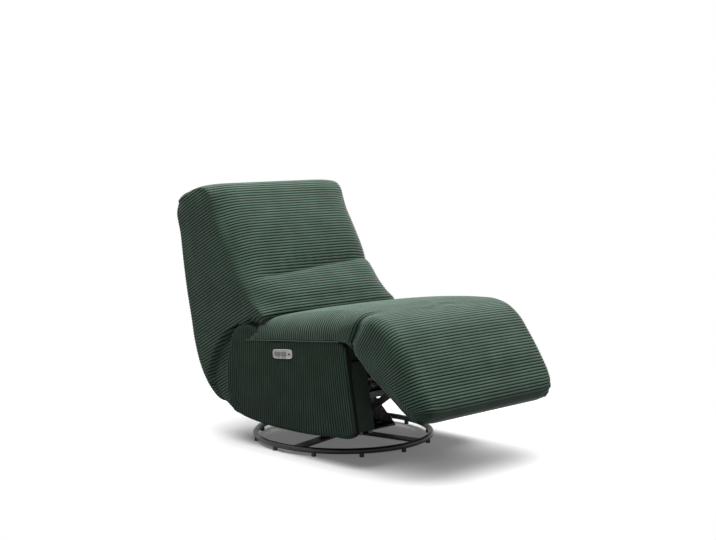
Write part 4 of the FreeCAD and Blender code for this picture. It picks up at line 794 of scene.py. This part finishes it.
finishes = {
    "black_steel": hard("powder_coated_steel", "#0e0e0f", 0.42, grain=0.0012, depth=0.25),
    "bright_steel": hard("zinc_plated_steel", "#b9bbbd", 0.32, metallic=1.0),
    "spring_steel": hard("oiled_spring_wire", "#4a4b4e", 0.38, metallic=1.0),
    "plywood": hard("birch_plywood", "#b08d60", 0.62, grain=0.004, depth=0.3),
    "webbing": hard("elastic_webbing", "#1c1d1e", 0.85, grain=0.0015, depth=0.6),
    "black_plastic": hard("moulded_black_plastic", "#17181a", 0.5, grain=0.001, depth=0.2),
    "silver_plastic": hard("satin_silver_plastic", "#cfcfc7", 0.38, grain=0.0008, depth=0.08),
    "grey_plastic": hard("dark_grey_plastic", "#7d807e", 0.45, grain=0.0008, depth=0.1),
    "corduroy": cover_cloth,
}
sewing_thread = hard("waxed_polyester_thread", "#4a5d51", 0.7, grain=0.0006, depth=0.3)
# Dark lining over the plywood: partly the dust cover that recliners have, partly painted shade inside and under the
# frame.
lining_and_painted_shade = hard("dark_lining_and_painted_shade", "#0b1a10", 0.95, grain=0.0016, depth=0.6)
LINED_AND_SHADED = ("front_stiles", "footrest_board", "seat_front_rail", "seat_rear_rail", "side_frame_left", "side_frame_right",
         "back_tail_rail")
slots = {part["node"]: part["material_slot"] for part in frame["record"]["subparts"]}
for name, thing in frame["nodes"].items():
    thing.data.materials.clear()
    thing.data.materials.append(lining_and_painted_shade if name in LINED_AND_SHADED else finishes[slots[name]])
print(len(finishes), "finishes on", len(frame["nodes"]), "nodes")

# %% [markdown]
# Each cover takes its cloth and stands for the CAD pads under it. The back cover rides on the back and the side covers
# on the seat; the seat and footrest cover is fixed in place.

# %% Dress the bodies
for piece in (back_cover, seat_cover):
    piece.data.materials.append(cover_cloth)
# The side covers take the darker copy of the cloth, painted shade on the side panels.
for piece in (side_cover_left, side_cover_right):
    piece.data.materials.append(shaded_side_cloth)
for piece in (topstitch_left, topstitch_right):
    piece.data.materials.append(sewing_thread)
    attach(piece, "seat")
control_plate.data.materials.clear()
control_plate.data.materials.append(finishes["silver_plastic"])
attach(control_plate, "seat")
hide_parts("control_bezel")
spring_coils.data.materials.append(finishes["spring_steel"])
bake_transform(spring_coils)
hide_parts("rocker_springs")
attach(back_cover, "back")
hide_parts("back_cushion", "back_top_pad", "back_shell", "back_wing_left", "back_wing_right")
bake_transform(seat_cover)
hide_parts("seat_cushion", "footrest_cushion")
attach(side_cover_left, "seat")
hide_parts("side_pad_left")
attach(side_cover_right, "seat")
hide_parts("side_pad_right")
print("dressed the seat, the back and the footrest")

# %% [markdown]
# The stage is a plain white floor under a wide soft lamp, with a weak one at the front right.
# The floor is grey paint for bounced light. Where it is seen it is pale, and turns pure white away from the chair.

# %% Floor, world and lamps
floor_mesh = bpy.data.meshes.new("floor")
floor_mesh.from_pydata([(-30, -30, 0), (30, -30, 0), (30, 30, 0), (-30, 30, 0)], [], [(0, 1, 2, 3)])
floor = bpy.data.objects.new("floor", floor_mesh)
bpy.context.collection.objects.link(floor)
floor_paint, tree, output = new_material("white_floor_paint")
looked = seen_ray(tree)
paint = node(tree, "ShaderNodeMix", {"Factor": looked, "A": linear("#8a8a8a"), "B": linear("#f4f4f4")},
             data_type="RGBA")
floor_surface = node(tree, "ShaderNodeBsdfDiffuse", {"Color": paint.outputs["Result"]})
white = node(tree, "ShaderNodeEmission", {"Color": (1, 1, 1, 1), "Strength": 1.0})
spot = node(tree, "ShaderNodeTexCoord").outputs["Object"]
away = node(tree, "ShaderNodeVectorMath", {0: spot}, operation="LENGTH").outputs["Value"]
far = node(tree, "ShaderNodeMapRange", {"Value": away, "From Min": 0.45, "From Max": 1.7, "To Min": 0.13},
           interpolation_type="SMOOTHSTEP").outputs["Result"]
whiten = node(tree, "ShaderNodeMath", {0: far, 1: looked}, operation="MULTIPLY").outputs[0]
blended = node(tree, "ShaderNodeMixShader", {0: whiten, 1: floor_surface.outputs["BSDF"],
                                            2: white.outputs["Emission"]})
tree.links.new(blended.outputs["Shader"], output.inputs["Surface"])
floor_mesh.materials.append(floor_paint)

world = bpy.data.worlds.new("studio")
bpy.context.scene.world = world
world.use_nodes = True
tree = world.node_tree
tree.nodes.clear()
strength = node(tree, "ShaderNodeMapRange", {"Value": seen_ray(tree), "To Min": 0.12, "To Max": 1.0}).outputs["Result"]
sky = node(tree, "ShaderNodeBackground", {"Color": (1, 1, 1, 1), "Strength": strength})
node(tree, "ShaderNodeOutputWorld", {"Surface": sky.outputs["Background"]})


def lamp(name, place, aim, size, power):
    """A square soft lamp that points at a spot."""
    data = bpy.data.lights.new(name, "AREA")
    data.size = size
    data.energy = power
    thing = bpy.data.objects.new(name, data)
    bpy.context.collection.objects.link(thing)
    thing.location = place
    way = np.array(aim, float) - np.array(place, float)
    tilt, turn = math.atan2(math.hypot(way[0], way[1]), -way[2]), math.atan2(way[1], way[0]) - math.pi / 2
    thing.rotation_euler = (tilt, 0, turn)
    print("lamp", name, power, "W")


lamp("overhead", (0.25, 0.3, 4.2), (0, 0, 0.4), 6.0, 585)
lamp("front_right", (2.6, -3.4, 2.4), (0, 0, 0.5), 2.0, 26)
